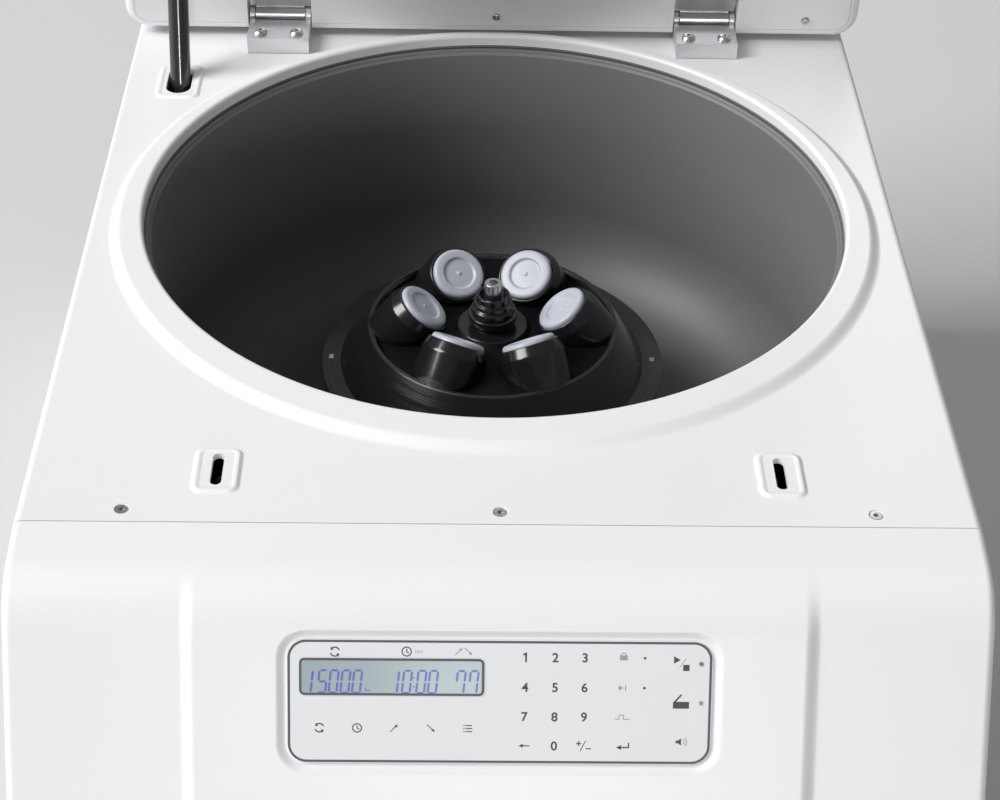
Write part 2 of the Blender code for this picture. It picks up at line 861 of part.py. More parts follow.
def front_profile():
    """The front's side view as (reach, drop) points from the seam down to the base."""
    rise = BROW_DROP / (BROW_REACH - SEAM_REACH)
    slope = math.tan(SLOPE)
    corner_drop = rise * (FACE_REACH - SEAM_REACH - FACE_DROP * slope) / (1 - rise * slope)
    corner = (face_reach(corner_drop), corner_drop)
    nose_reach = FRONT_REACH - CENTRE_PROUD
    chin_drop = FACE_DROP + (nose_reach - FACE_REACH) / slope
    tuck_slope = (nose_reach - BASE_REACH) / (BASE_DROP - (NOSE_DROP + TUCK_DROP) / 2)
    tuck = (BASE_REACH + (BASE_DROP - TUCK_DROP) * tuck_slope, TUCK_DROP)
    points = [(SEAM_REACH + GAP * 2, 0)]
    points += bezier((BROW_REACH, BROW_DROP), corner, (face_reach(FACE_TOP_DROP), FACE_TOP_DROP), CURVE_STEPS)
    low_face = (face_reach(FACE_LOW_DROP), FACE_LOW_DROP)
    points += bezier(low_face, (nose_reach, chin_drop), (nose_reach, NOSE_DROP), CURVE_STEPS)
    points += bezier(
        (nose_reach, NOSE_DROP), (nose_reach, (NOSE_DROP + TUCK_DROP) / 2), tuck, CURVE_STEPS
    )[1:]
    points.append((BASE_REACH, BASE_DROP))
    return points


def profile_normals(points):
    """Outward directions at the points of the front's side view."""
    normals = []
    for i in range(len(points)):
        a = Vector(points[max(i - 1, 0)])
        b = Vector(points[min(i + 1, len(points) - 1)])
        along = (b - a).normalized()
        normals.append(Vector((along.y, -along.x)))
    return normals


def centre_share(x):
    """1 on the raised middle of the front, falling to 0 over the crease beside it."""
    return 1 - smoothstep((abs(x) - CENTRE_HALF_W) / CREASE_W)


def front_section(proud, inset):
    """One cross-section of the front: the outside, moved out or in, closed along the seam."""
    points = front_profile()
    normals = profile_normals(points)
    ring = []
    for (reach, drop), normal in zip(points, normals):
        fade = smoothstep((drop - BROW_DROP) / (FACE_TOP_DROP - BROW_DROP))
        out = proud * fade - inset
        ring.append((reach + normal.x * out, drop + normal.y * out))
    ring[0] = (points[0][0], inset)
    ring[-1] = (ring[-1][0], BASE_DROP)
    return ring


def front_stations(end_x):
    """Cross-sections from side to side: close together over the creases and at the corners."""
    stations = []
    for i in range(EDGE_STEPS + 1):
        turn = QUARTER * i / EDGE_STEPS
        stations.append((end_x - EDGE_R + EDGE_R * math.sin(turn), EDGE_R * (1 - math.cos(turn))))
    for i in range(CREASE_STEPS + 1):
        stations.append((CENTRE_HALF_W + CREASE_W * i / CREASE_STEPS, 0))
    half = sorted(stations)
    return [(-x, inset) for x, inset in reversed(half)] + half


def front_solid(stations, proud, inset, back_reach, extra_drop):
    """The front as a solid between its cross-sections, from the seam plane forwards."""
    rings = []
    for x, rounding in stations:
        section = front_section(proud * centre_share(x), rounding + inset)
        last = section[-1]
        ring = [(back_reach, section[0][1])] + section + [(last[0], BASE_DROP + extra_drop)]
        ring.append((back_reach, BASE_DROP + extra_drop))
        rings.append([at_bowl(x, -reach, -drop) for reach, drop in ring])
    return loft(rings)


def foil_frame():
    """The frame of the control foil: X to the right, Y up the slope and Z out of it."""
    out = Vector((0, -math.cos(SLOPE), math.sin(SLOPE)))
    up = Vector((0, math.sin(SLOPE), math.cos(SLOPE)))
    surface = at_bowl(0, -face_reach(FOIL_CENTRE_DROP), -FOIL_CENTRE_DROP) + out * CENTRE_PROUD
    frame = Matrix((X_AXIS, up, out)).transposed().to_4x4()
    frame.translation = surface
    return frame


def foil_outline(margin, width=FOIL_W, height=FOIL_H, corner=FOIL_CORNER_R):
    half_w = width / 2 + margin
    half_h = height / 2 + margin
    return rounded_rect(-half_w, half_w, -half_h, half_h, corner + margin, CORNER_STEPS)


def window_outline(margin):
    left = -FOIL_W / 2 + WINDOW_LEFT
    top = FOIL_H / 2 - WINDOW_TOP
    return rounded_rect(
        left - margin,
        left + WINDOW_W + margin,
        top - WINDOW_H - margin,
        top + margin,
        WINDOW_CORNER_R + margin,
        CORNER_STEPS,
    )


def make_front_panel(paint):
    outside = front_solid(front_stations(HALF_W), CENTRE_PROUD, 0, SEAM_REACH + GAP * 2, 0)
    panel = piece("front_panel", outside, paint)
    ends = [(side * (HALF_W - WALL), 0) for side in SIDES.values()]
    cut(panel, front_solid(ends, 0, WALL, SEAM_REACH - OVERRUN, OVERRUN))
    frame = foil_frame()
    rings = []
    for i in range(RECESS_STEPS + 1):
        t = i / RECESS_STEPS
        outline = foil_outline(RECESS_MARGIN + RECESS_SLOPE_W * t)
        rings.append([frame @ Vector((x, y, -RECESS_DEPTH * (1 - smoothstep(t)))) for x, y in outline])
    outline = foil_outline(RECESS_MARGIN + RECESS_SLOPE_W)
    rings.append([frame @ Vector((x, y, OVERRUN)) for x, y in outline])
    cut(panel, loft(rings))
    return panel


def make_foil(film, glass):
    frame = foil_frame()
    floor = -RECESS_DEPTH + GAP
    sheet = moved(prism(foil_outline(0), floor, floor + FOIL_T), frame)
    foil = piece("control_foil", sheet, film, smooth=False)
    cut(foil, moved(prism(window_outline(GAP), floor - OVERRUN, floor + OVERRUN), frame))
    window = prism(window_outline(0), floor, floor + WINDOW_T)
    piece("display_window", moved(window, frame), glass, smooth=False)


# Bowl


def bowl_path(extra, top, inner_r):
    """Half of the bowl's section from the rim to the middle, moved out by an extra thickness."""
    radius = BOWL_R + extra
    points = [(radius, top)]
    centre_r = BOWL_R - BOWL_CORNER_R
    centre_z = -BOWL_DEPTH + BOWL_CORNER_R
    for i in range(ARC_STEPS + 1):
        turn = QUARTER * i / ARC_STEPS
        reach = BOWL_CORNER_R + extra
        points.append((centre_r + reach * math.cos(turn), centre_z - reach * math.sin(turn)))
    if inner_r < BOWL_HUB_R:
        points.append((BOWL_HUB_R + BOWL_HUB_RISE, -BOWL_DEPTH - extra))
        points.append((BOWL_HUB_R, -BOWL_DEPTH + BOWL_HUB_RISE - extra))
    points.append((inner_r, points[-1][1]))
    return points


def make_bowl(coated, rubber, foam):
    inner = bowl_path(0, -BEAD_TOP_DROP - BEAD_R * 2, BOWL_HOLE_R)
    outer = bowl_path(BOWL_T, -BEAD_TOP_DROP - BEAD_R * 2, BOWL_HOLE_R)
    centre_r = BOWL_R + BEAD_R * BEAD_OUT_SHARE
    centre_z = -BEAD_TOP_DROP - BEAD_R
    bead = []
    for i in range(BEAD_STEPS + 1):
        turn = math.pi - math.pi * i / BEAD_STEPS
        bead.append((centre_r + BEAD_R * math.cos(turn), centre_z + BEAD_R * math.sin(turn)))
    flange_top = centre_z - BEAD_R / 2
    rim = [(FLANGE_R, flange_top), (FLANGE_R, flange_top - BOWL_T), (BOWL_R + BOWL_T, flange_top - BOWL_T)]
    profile = list(reversed(inner)) + bead + rim + outer[1:]
    piece("bowl", shifted(lathe(profile, BOWL_STEPS), at_bowl(0, 0, 0)), coated)
    seal_top = -LIP_DROP - GAP
    seal_low = seal_top - GASKET_T
    seal_outer = OPENING_R + LIP_T
    seal = [
        (GASKET_INNER_R, seal_low),
        (seal_outer, seal_low),
        (seal_outer, seal_top),
        (GASKET_INNER_R, seal_top),
    ]
    piece("bowl_gasket", shifted(lathe(seal, BOWL_STEPS), at_bowl(0, 0, 0)), rubber)
    skin = BOWL_T + GAP
    near = bowl_path(skin, -FOAM_TOP_DROP, FOAM_HOLE_R)
    far_r = BOWL_R + skin + FOAM_T
    far_z = -BOWL_DEPTH - skin - FOAM_T
    bevel = (BOWL_CORNER_R + skin + FOAM_T) * FOAM_BEVEL_SHARE
    far = [(FOAM_HOLE_R, far_z), (far_r - bevel, far_z), (far_r, far_z + bevel), (far_r, -FOAM_TOP_DROP)]
    piece("bowl_insulation", shifted(lathe(near + far, BOWL_STEPS), at_bowl(0, 0, 0)), foam)


# Drive


def make_motor(iron, steel):
    base = MOTOR_BASE_H - DECK_H
    neck_r = BOWL_HOLE_R - GAP
    bore_r = SHAFT_R + GAP
    rim = MOTOR_R * MOTOR_RIM_SHARE
    profile = [
        (0, base),
        (rim, base),
        (MOTOR_R, base + MOTOR_R - rim),
        (MOTOR_R, -MOTOR_SHOULDER_DROP - (MOTOR_R - rim)),
        (rim, -MOTOR_SHOULDER_DROP),
        (neck_r, -MOTOR_SHOULDER_DROP),
        (neck_r, -MOTOR_NECK_TOP_DROP),
        (bore_r, -MOTOR_NECK_TOP_DROP),
        (bore_r, -MOTOR_BORE_DROP),
        (0, -MOTOR_BORE_DROP),
    ]
    piece("drive_motor", shifted(lathe(profile, MOTOR_STEPS, closed=False), at_bowl(0, 0, 0)), iron)
    half = MOUNT_PLATE_W / 2
    top = base - GAP
    outline = rounded_rect(-half, half, -half, half, MOUNT_CORNER_R)
    mount = piece("motor_mount", shifted(prism(outline, top - MOUNT_PLATE_T, top), at_bowl(0, 0, 0)), steel)
    for x in (-BUFFER_PITCH / 2, BUFFER_PITCH / 2):
        for y in (-BUFFER_PITCH / 2, BUFFER_PITCH / 2):
            buffer = cylinder(BUFFER_R, -PAN_TOP_DROP + GAP, top - MOUNT_PLATE_T / 2, LATCH_STEPS)
            join(mount, shifted(buffer, at_bowl(x, y, 0)))


def make_shaft(steel, parent):
    collar_top = -ROTOR_HUB_FOOT_DROP - GAP
    collar_low = collar_top - SHAFT_COLLAR_H
    tip = SHAFT_R * SHAFT_TIP_SHARE
    thread_r = THREAD_R + GAP
    profile = [
        (0, -SHAFT_FOOT_DROP),
        (SHAFT_R, -SHAFT_FOOT_DROP),
        (SHAFT_R, collar_low),
        (SHAFT_COLLAR_R, collar_low),
        (SHAFT_COLLAR_R, collar_top),
        (SHAFT_R, collar_top),
        (SHAFT_R, -SHAFT_TOP_DROP - (SHAFT_R - tip)),
        (tip, -SHAFT_TOP_DROP),
        (thread_r, -SHAFT_TOP_DROP),
        (thread_r, -SHAFT_TOP_DROP - THREAD_DEPTH),
        (0, -SHAFT_TOP_DROP - THREAD_DEPTH),
    ]
    piece("drive_shaft", lathe(profile, SHAFT_STEPS, closed=False), steel, parent)


# Rotor


def rotor_profile():
    bore_r = SHAFT_R + GAP
    rim_low = -RIM_DROP - RIM_T
    wall_foot_r = ROTOR_R - RIM_W
    chine = -ROTOR_FOOT_DROP + (ROTOR_FOOT_DROP - SKIRT_DROP) * ROTOR_CHINE_SHARE
    return [
        (bore_r, -ROTOR_HUB_FOOT_DROP),
        (ROTOR_HUB_FOOT_R, -ROTOR_HUB_FOOT_DROP),
        (ROTOR_HUB_FOOT_R + ROTOR_HUB_FOOT_DROP - ROTOR_UNDER_DROP, -ROTOR_UNDER_DROP),
        (ROTOR_FOOT_R - ROTOR_FOOT_DROP + ROTOR_UNDER_DROP, -ROTOR_UNDER_DROP),
        (ROTOR_FOOT_R, -ROTOR_FOOT_DROP),
        ((ROTOR_FOOT_R + ROTOR_SIDE_R) / 2, chine),
        (ROTOR_SIDE_R, -SKIRT_DROP),
        (ROTOR_SIDE_R, rim_low),
        (ROTOR_R, rim_low),
        (ROTOR_R, -RIM_DROP),
        (wall_foot_r, -RIM_DROP),
        (CONE_TOP_R, -CONE_TOP_DROP),
        (CONE_TOP_R - CONE_LAND, -CONE_TOP_DROP),
        (CONE_TOP_R - CONE_LAND * 2, -CROWN_DROP),
        (HUB_R + CONE_LAND, -CROWN_DROP),
        (HUB_R, -HUB_DROP),
        (bore_r, -HUB_DROP),
    ]


def tube_frames(parent):
    """One frame for each tube: the origin in the middle of the cap's top, +Z out along the tube."""
    frames = []
    for i in range(TUBE_COUNT):
        turn = math.tau * i / TUBE_COUNT
        place = Vector((TUBE_PITCH_R * math.cos(turn), TUBE_PITCH_R * math.sin(turn), -CAP_DROP))
        frames.append(empty(f"tube_axis_{i + 1}", place, (0, -TILT, turn), parent))
    return frames


def round_bottom(radius, length, top):
    """A tube's outline from its round bottom up to a given height."""
    points = []
    for i in range(TUBE_END_STEPS + 1):
        turn = QUARTER * i / TUBE_END_STEPS
        points.append((radius * math.sin(turn), -length + radius * (1 - math.cos(turn))))
    return points + [(radius, top)]


def make_rotor(black, steel, plastic, white, parent):
    rotor = piece("rotor_body", lathe(rotor_profile(), ROTOR_STEPS), black, parent)
    frames = tube_frames(parent)
    boss = [
        (0, -BOSS_DEPTH),
        (BOSS_R, -BOSS_DEPTH),
        (BOSS_R, -BOSS_TOP - BOSS_CHAMFER),
        (BOSS_TOP_R, -BOSS_TOP),
        (0, -BOSS_TOP),
    ]
    for frame in frames:
        join(rotor, twisted(lathe(boss, BOSS_STEPS, closed=False), BOSS_STEPS), frame)
    bore = round_bottom(TUBE_R + GAP, TUBE_L + GAP, -CAP_T - GAP)
    seat_r = CAP_R + CAP_ROOM
    bore += [(seat_r, -CAP_T - GAP), (seat_r, OVERRUN), (0, OVERRUN)]
    for frame in frames:
        cut(rotor, lathe(bore, TUBE_STEPS, closed=False), frame)
    shoulder = -CAP_T - GAP
    socket_r = NECK_R + CAP_ROOM
    neck_top = -CAP_T + CAP_SOCKET_DEPTH - GAP
    body = round_bottom(TUBE_R, TUBE_L, shoulder) + [(NECK_R, shoulder), (NECK_R, neck_top), (0, neck_top)]
    cap = [
        (0, -CAP_T + CAP_SOCKET_DEPTH),
        (socket_r, -CAP_T + CAP_SOCKET_DEPTH),
        (socket_r, -CAP_T),
        (CAP_R, -CAP_T),
        (CAP_R, -CAP_ROUND),
        (CAP_R - CAP_ROUND, 0),
        (CAP_RECESS_R + CAP_RECESS_DEPTH / 2, 0),
        (CAP_RECESS_R, -CAP_RECESS_DEPTH),
        (CAP_NUB_R, -CAP_RECESS_DEPTH),
        (0, -CAP_RECESS_DEPTH + CAP_NUB_H),
    ]
    for number, frame in enumerate(frames, 1):
        piece(f"tube_{number}", lathe(body, TUBE_STEPS, closed=False), plastic, frame)
        piece(f"tube_cap_{number}", lathe(cap, TUBE_STEPS, closed=False), white, frame)
    make_nut(black, steel, parent)


def make_nut(black, steel, parent):
    foot = -HUB_DROP + GAP
    flange_low = foot + NUT_FOOT_H
    flange_top = flange_low + NUT_FLANGE_H
    top = -NUT_TOP_DROP
    cup_floor = top - NUT_CUP_DEPTH
    bore_r = THREAD_R + GAP
    shoulder = top - NUT_CUP_DEPTH
    profile = [(bore_r, foot), (NUT_FOOT_R, foot), (NUT_FOOT_R, flange_low), (NUT_FLANGE_R, flange_low)]
    profile += [(NUT_FLANGE_R, flange_top), (NUT_R, flange_top)]
    rib = (shoulder - flange_top) / NUT_RIBS
    for i in range(NUT_RIBS):
        low = flange_top + rib * i
        radius = NUT_R - NUT_TAPER * i
        profile += [
            (radius - NUT_GROOVE, low + rib * NUT_GROOVE_SHARE),
            (radius, low + rib * NUT_GROOVE_SHARE * 2),
            (radius, low + rib),
        ]
    profile += [(NUT_TOP_R, shoulder), (NUT_TOP_R, top), (NUT_CUP_R, top)]
    profile += [(NUT_CUP_R, cup_floor), (bore_r, cup_floor)]
    piece("rotor_nut", lathe(profile, SHAFT_STEPS), black, parent)
    head_low = cup_floor + GAP
    tip = -SHAFT_TOP_DROP - THREAD_DEPTH * BOLT_ENGAGED_SHARE
    edge = BOLT_HEAD_R * BOLT_EDGE_SHARE
    bolt = [
        (0, tip),
        (THREAD_R, tip),
        (THREAD_R, head_low),
        (BOLT_HEAD_R, head_low),
        (BOLT_HEAD_R, -BOLT_TOP_DROP - (BOLT_HEAD_R - edge)),
        (edge, -BOLT_TOP_DROP),
        (0, -BOLT_TOP_DROP),
    ]
    screw = piece("rotor_bolt", lathe(bolt, SHAFT_STEPS, closed=False), steel, parent)
    cut(screw, cylinder(BOLT_HEX_R, -BOLT_TOP_DROP - BOLT_HEX_DEPTH, -BOLT_TOP_DROP + OVERRUN, 6), parent)


# Lid, drawn closed in the frame of its hinge axis and then swung open with that frame


def lid_rings(inset, low, high, rim_r, edge_r):
    """The lid's outside or its hollow: a rounded rectangle with its lower and upper edges rounded."""
    half = LID_W / 2 - inset
    front = -HINGE_REACH - LID_FRONT_REACH + inset
    rear = LID_TAIL - inset
    levels = []
    if rim_r > 0:
        for i in range(LID_RIM_STEPS):
            turn = QUARTER * i / LID_RIM_STEPS
            levels.append((rim_r * (1 - math.sin(turn)), low + rim_r * (1 - math.cos(turn))))
    levels += [(0, low + rim_r), (0, high - edge_r)]
    for i in range(1, EDGE_STEPS + 1):
        turn = QUARTER * i / EDGE_STEPS
        levels.append((edge_r * (1 - math.cos(turn)), high - edge_r * (1 - math.sin(turn))))
    rings = []
    for draw, height in levels:
        outline = rounded_rect(
            -half + draw,
            half - draw,
            front + draw,
            rear - draw,
            LID_CORNER_R - inset - draw,
            LID_CORNER_STEPS,
            LID_REAR_CORNER_R - inset - draw,
        )
        rings.append([(x, y, height) for x, y in outline])
    return loft(rings)


def hinge_zone(margin):
    """The stretch along X that one hinge takes up, with a margin on each side."""
    return HINGE_X - HINGE_W / 2 - margin, HINGE_X + HINGE_W / 2 + margin


def side_box(side, span, low, high):
    """A box whose X span is mirrored to the left or right side."""
    a, b = sorted((side * span[0], side * span[1]))
    return box((a, low[0], low[1]), (b, high[0], high[1]))


def make_lid(paint, liner_mat, steel, pivot):
    under = LID_GAP - HINGE_RISE
    top = under + LID_T
    shell = piece("lid_shell", lid_rings(0, under, top, LID_RIM_R, LID_EDGE_R), paint, pivot)
    cut(shell, lid_rings(LID_WALL, under - OVERRUN, top - LID_WALL, 0, LID_EDGE_R - LID_WALL), pivot)
    notch_top = KNUCKLE_R + POCKET_CLEAR * 2
    for side in SIDES.values():
        span = hinge_zone(POCKET_CLEAR)
        cut(shell, side_box(side, span, (0, under - OVERRUN), (LID_TAIL + OVERRUN, notch_top)), pivot)
    inset = LID_WALL + GAP
    half = LID_W / 2 - inset
    front = -HINGE_REACH - LID_FRONT_REACH + inset
    rear = LID_TAIL - inset
    corners = (LID_CORNER_R - inset, LID_CORNER_STEPS, LID_REAR_CORNER_R - inset)
    outline = rounded_rect(-half, half, front, rear, *corners)
    liner = piece("lid_liner", prism(outline, under, under + LINER_T), liner_mat, pivot)
    centre = Vector((0, -HINGE_REACH, under))
    hole = cylinder(PLUG_R - LINER_T * 2, -OVERRUN, LINER_T + OVERRUN, PLUG_HOLE_STEPS)
    cut(liner, shifted(twisted(hole, PLUG_HOLE_STEPS), centre), pivot)
    outside = []
    inside = []
    rise = LINER_T / 2
    for i in range(PLUG_STEPS + 1):
        t = i / PLUG_STEPS
        radius = PLUG_R - (PLUG_R - PLUG_FLOOR_R) * t
        outside.append((radius, rise - (PLUG_DEPTH + rise) * smoothstep(t)))
    for t in PLUG_INNER_SHARES:
        radius = PLUG_R - LINER_T * 2 - (PLUG_R - PLUG_FLOOR_R) * t
        inside.append((radius, LINER_T + rise - (PLUG_DEPTH + rise) * t))
    lip = (PLUG_R - LINER_T / 3, LINER_T + rise)
    dish = [(0, -PLUG_DEPTH + LINER_T)] + list(reversed(inside)) + [lip] + outside + [(0, -PLUG_DEPTH)]
    join(liner, shifted(lathe(dish, PLUG_TURN_STEPS, closed=False), centre), pivot)
    outer = hinge_zone(POCKET_CLEAR + LINER_T)
    inner = hinge_zone(POCKET_CLEAR)
    back = rear - LINER_T / 2
    leaf_part = (-POCKET_L, LEAF_LIFT + LEAF_T + GAP)
    knuckle_part = (-KNUCKLE_R - POCKET_CLEAR * 2, notch_top)
    for side in SIDES.values():
        for front, roof in (leaf_part, knuckle_part):
            low = (front - LINER_T, under + LINER_T / 2)
            join(liner, side_box(side, outer, low, (back, roof + LINER_T)), pivot)
        for front, roof in (leaf_part, knuckle_part):
            low = (front, under - OVERRUN)
            cut(liner, side_box(side, inner, low, (back + OVERRUN, roof)), pivot)
    make_strikers(steel, pivot, under)


def make_strikers(steel, pivot, under):
    for name, side in SIDES.items():
        centre = -HINGE_REACH - LATCH_REACH
        front = centre - STRIKER_L / 2
        back = centre + STRIKER_L / 2
        tip = -STRIKER_DROP - HINGE_RISE
        top = under - GAP
        notch_top = -STRIKER_NOTCH_TOP_DROP - HINGE_RISE
        notch_low = -STRIKER_NOTCH_LOW_DROP - HINGE_RISE
        bevel = STRIKER_L / 5
        outline = [
            (front, top),
            (front, tip + bevel),
            (front + bevel, tip),
            (back - bevel, tip),
            (back, tip + bevel),
            (back, notch_low),
            (back - STRIKER_NOTCH_DEPTH, notch_low),
            (back - STRIKER_NOTCH_DEPTH, notch_top),
            (back, notch_top),
            (back, top),
        ]
        x = side * LATCH_X
        shape = prism_x(outline, x - STRIKER_T / 2, x + STRIKER_T / 2)
        piece(f"lid_striker_{name}", shape, steel, pivot, smooth=False)


def make_hinges(block_mat, steel, pivot):
    axis = at_bowl(0, HINGE_REACH, HINGE_RISE)
    for name, side in SIDES.items():
        low_x, high_x = hinge_zone(0)
        centre_x = side * HINGE_X
        front = -HINGE_REACH + BLOCK_FRONT_REACH
        low_z = -HINGE_RISE + GAP
        block = piece(
            f"hinge_block_{name}",
            shifted(side_box(side, (low_x, high_x), (front, low_z), (0, low_z + BLOCK_H - GAP)), axis),
            block_mat,
            smooth=False,
        )
        cut(block, ring_pad(GAP))
        half = HINGE_W / 2
        barrel = along_x(cylinder(KNUCKLE_R, -half, half, KNUCKLE_STEPS))
        join(block, shifted(barrel, axis + Vector((centre_x, 0, 0))))
        middle = half - KNUCKLE_END_W + GAP
        room = KNUCKLE_R + POCKET_CLEAR
        gap_box = box((-middle, -room, -room), (middle, OVERRUN * 2, OVERRUN * 3))
        cut(block, shifted(gap_box, axis + Vector((centre_x, 0, 0))))
        bore = along_x(cylinder(PIN_R + GAP, -half - OVERRUN, half + OVERRUN, LATCH_STEPS))
        cut(block, shifted(bore, axis + Vector((centre_x, 0, 0))))
        wide = half - GAP
        leaf_top = LEAF_LIFT + LEAF_T
        root = -KNUCKLE_R - POCKET_CLEAR
        plate = box((centre_x - wide, -LEAF_L, LEAF_LIFT), (centre_x + wide, root, leaf_top))
        leaf = piece(f"hinge_leaf_{name}", plate, steel, pivot, smooth=False)
        inner = middle - GAP * 2
        tongue = box((centre_x - inner, -KNUCKLE_R * 2, LEAF_LIFT), (centre_x + inner, 0, leaf_top))
        join(leaf, tongue, pivot)
        knuckle = along_x(cylinder(KNUCKLE_R - GAP, -inner, inner, KNUCKLE_STEPS))
        join(leaf, shifted(knuckle, Vector((centre_x, 0, 0))), pivot)
        cut(leaf, shifted(bore, Vector((centre_x, 0, 0))), pivot)
        edge = PIN_R / 4
        profile = [(0, -half), (PIN_R - edge, -half), (PIN_R, -half + edge)]
        profile += [(radius, -height) for radius, height in reversed(profile)]
        pin = lathe(profile, LATCH_STEPS, closed=False)
        piece(f"hinge_pin_{name}", shifted(along_x(pin), axis + Vector((centre_x, 0, 0))), steel)


# Latch under the front of the deck


def make_latch(steel, dark):
    axis = at_bowl(0, -LATCH_SHAFT_REACH, -LATCH_SHAFT_DROP)
    pivot = empty("latch_axis", axis, (-math.radians(LATCH_OPEN_DEG), 0, 0))
    rod = along_x(cylinder(LATCH_SHAFT_R, -LATCH_SHAFT_HALF_L, LATCH_SHAFT_HALF_L, LATCH_STEPS))
    shaft = piece("latch_shaft", rod, steel, pivot)
    half = HOOK_T / 2
    foot = LATCH_SHAFT_R * 1.5
    outline = [
        (-foot, -foot),
        (foot, -foot),
        (HOOK_BACK, HOOK_TOP / 2),
        (HOOK_BACK / 2, HOOK_TOP),
        (-HOOK_NOSE, HOOK_TOP),
        (-HOOK_NOSE, HOOK_UNDER),
        (-foot, HOOK_UNDER),
    ]
    for side in SIDES.values():
        x = side * LATCH_X
        join(shaft, prism_x(outline, x - half, x + half), pivot)
    for name, side in SIDES.items():
        x = side * BEARING_X
        low = Vector((x - BEARING_T / 2, -BEARING_L / 2, LATCH_SHAFT_DROP - BEARING_DROP))
        high = Vector((x + BEARING_T / 2, BEARING_L / 2, LATCH_SHAFT_DROP - DECK_T - GAP))
        bearing = piece(f"latch_bearing_{name}", shifted(box(low, high), axis), dark, smooth=False)
        hole = along_x(cylinder(LATCH_SHAFT_R + GAP, x - OVERRUN, x + OVERRUN, LATCH_STEPS))
        cut(bearing, shifted(hole, axis))
    start = BEARING_X + BEARING_T / 2 + GAP
    half_w = LOCK_MOTOR_W / 2
    outline = rounded_rect(-half_w, half_w, -half_w, half_w, half_w / 3)
    motor = piece("lock_motor", shifted(prism_x(outline, start, start + LOCK_MOTOR_L), axis), dark)
    hole = along_x(cylinder(LATCH_SHAFT_R + GAP, start - OVERRUN, start + LOCK_BORE_L, LATCH_STEPS))
    cut(motor, shifted(hole, axis))


# Gas spring


def spring_ends():
    """The spring's pivots with the lid open: on the lid, and at its foot in the housing."""
    swing = Matrix.Rotation(-LID_OPEN, 4, "X")
    arm = swing @ Vector((0, -SPRING_LID_BACK, -SPRING_LID_DROP))
    upper = at_bowl(-SPRING_X, HINGE_REACH, HINGE_RISE) + arm
    lower = at_bowl(-SPRING_X, SPRING_FOOT_Y, -SPRING_FOOT_DROP)
    return upper, lower


def make_gas_spring(black, chrome, steel, pivot):
    upper, lower = spring_ends()
    line = upper - lower
    length = line.length
    lean = -math.atan2(line.y, line.z)
    frame = empty("spring_axis", upper, (lean, 0, 0))
    profile = [
        (0, -SPRING_BORE_TOP),
        (SPRING_BORE_R, -SPRING_BORE_TOP),
        (SPRING_BORE_R, -SPRING_TUBE_END),
        (SPRING_TUBE_R - SPRING_CRIMP, -SPRING_TUBE_END),
        (SPRING_TUBE_R, -SPRING_TUBE_END + SPRING_CRIMP),
        (SPRING_TUBE_R, -SPRING_TUBE_TOP - SPRING_CRIMP),
        (SPRING_TUBE_R - SPRING_CRIMP, -SPRING_TUBE_TOP),
        (SPRING_NECK_R, -SPRING_TUBE_TOP),
        (SPRING_NECK_R, -(SPRING_EYE_R + SPRING_EYE_BORE_R) / 2),
        (0, -(SPRING_EYE_R + SPRING_EYE_BORE_R) / 2),
    ]
    tube = piece("gas_spring_tube", lathe(profile, SPRING_STEPS, closed=False), black, frame)
    half = SPRING_EYE_W / 2
    join(tube, along_x(cylinder(SPRING_EYE_R, -half, half, SPRING_STEPS)), frame)
    cut(tube, along_x(cylinder(SPRING_EYE_BORE_R, -half - OVERRUN, half + OVERRUN, SPRING_STEPS)), frame)
    rod_shape = cylinder(SPRING_ROD_R, -length, -SPRING_ROD_TOP, LATCH_STEPS)
    rod = piece("gas_spring_rod", rod_shape, chrome, frame)
    half_foot = FOOT_EYE_W / 2
    eye = along_x(cylinder(SPRING_EYE_R, -half_foot, half_foot, SPRING_STEPS))
    join(rod, shifted(eye, Vector((0, 0, -length))), frame)
    hole = along_x(cylinder(SPRING_EYE_BORE_R, -half_foot - OVERRUN, half_foot + OVERRUN, SPRING_STEPS))
    cut(rod, shifted(hole, Vector((0, 0, -length))), frame)
    plate_x = -SPRING_X - half - SPRING_STUD_GAP - SPRING_PLATE_T
    under = LID_GAP - HINGE_RISE - GAP
    half_w = SPRING_PLATE_W / 2
    outline = [(-SPRING_LID_BACK - half_w, under), (-SPRING_LID_BACK + half_w, under)]
    for i in range(CORNER_STEPS + 1):
        turn = math.pi * i / CORNER_STEPS
        reach = -SPRING_LID_BACK + half_w * math.cos(turn)
        outline.append((reach, -SPRING_LID_DROP - half_w * math.sin(turn)))
    bracket = piece("gas_spring_bracket", prism_x(outline, plate_x, plate_x + SPRING_PLATE_T), steel, pivot)
    stud = along_x(cylinder(SPRING_STUD_R, plate_x + SPRING_PLATE_T / 2, -SPRING_X + half, SPRING_STEPS))
    join(bracket, shifted(stud, Vector((0, -SPRING_LID_BACK, -SPRING_LID_DROP))), pivot)
    wall_x = -HALF_W + WALL + GAP
    half_p = FOOT_PLATE_W / 2
    outline = rounded_rect(-half_p, half_p, -half_p, half_p, half_p / 3)
    shape = prism_x(outline, wall_x, wall_x + FOOT_PLATE_T)
    place = Vector((0, lower.y, lower.z))
    base = piece("gas_spring_stud", shifted(shape, place), steel)
    reach = -SPRING_X - half_foot - SPRING_STUD_GAP
    join(base, shifted(along_x(cylinder(FOOT_STUD_R, wall_x + FOOT_PLATE_T / 2, reach, SPRING_STEPS)), place))


# Cooling


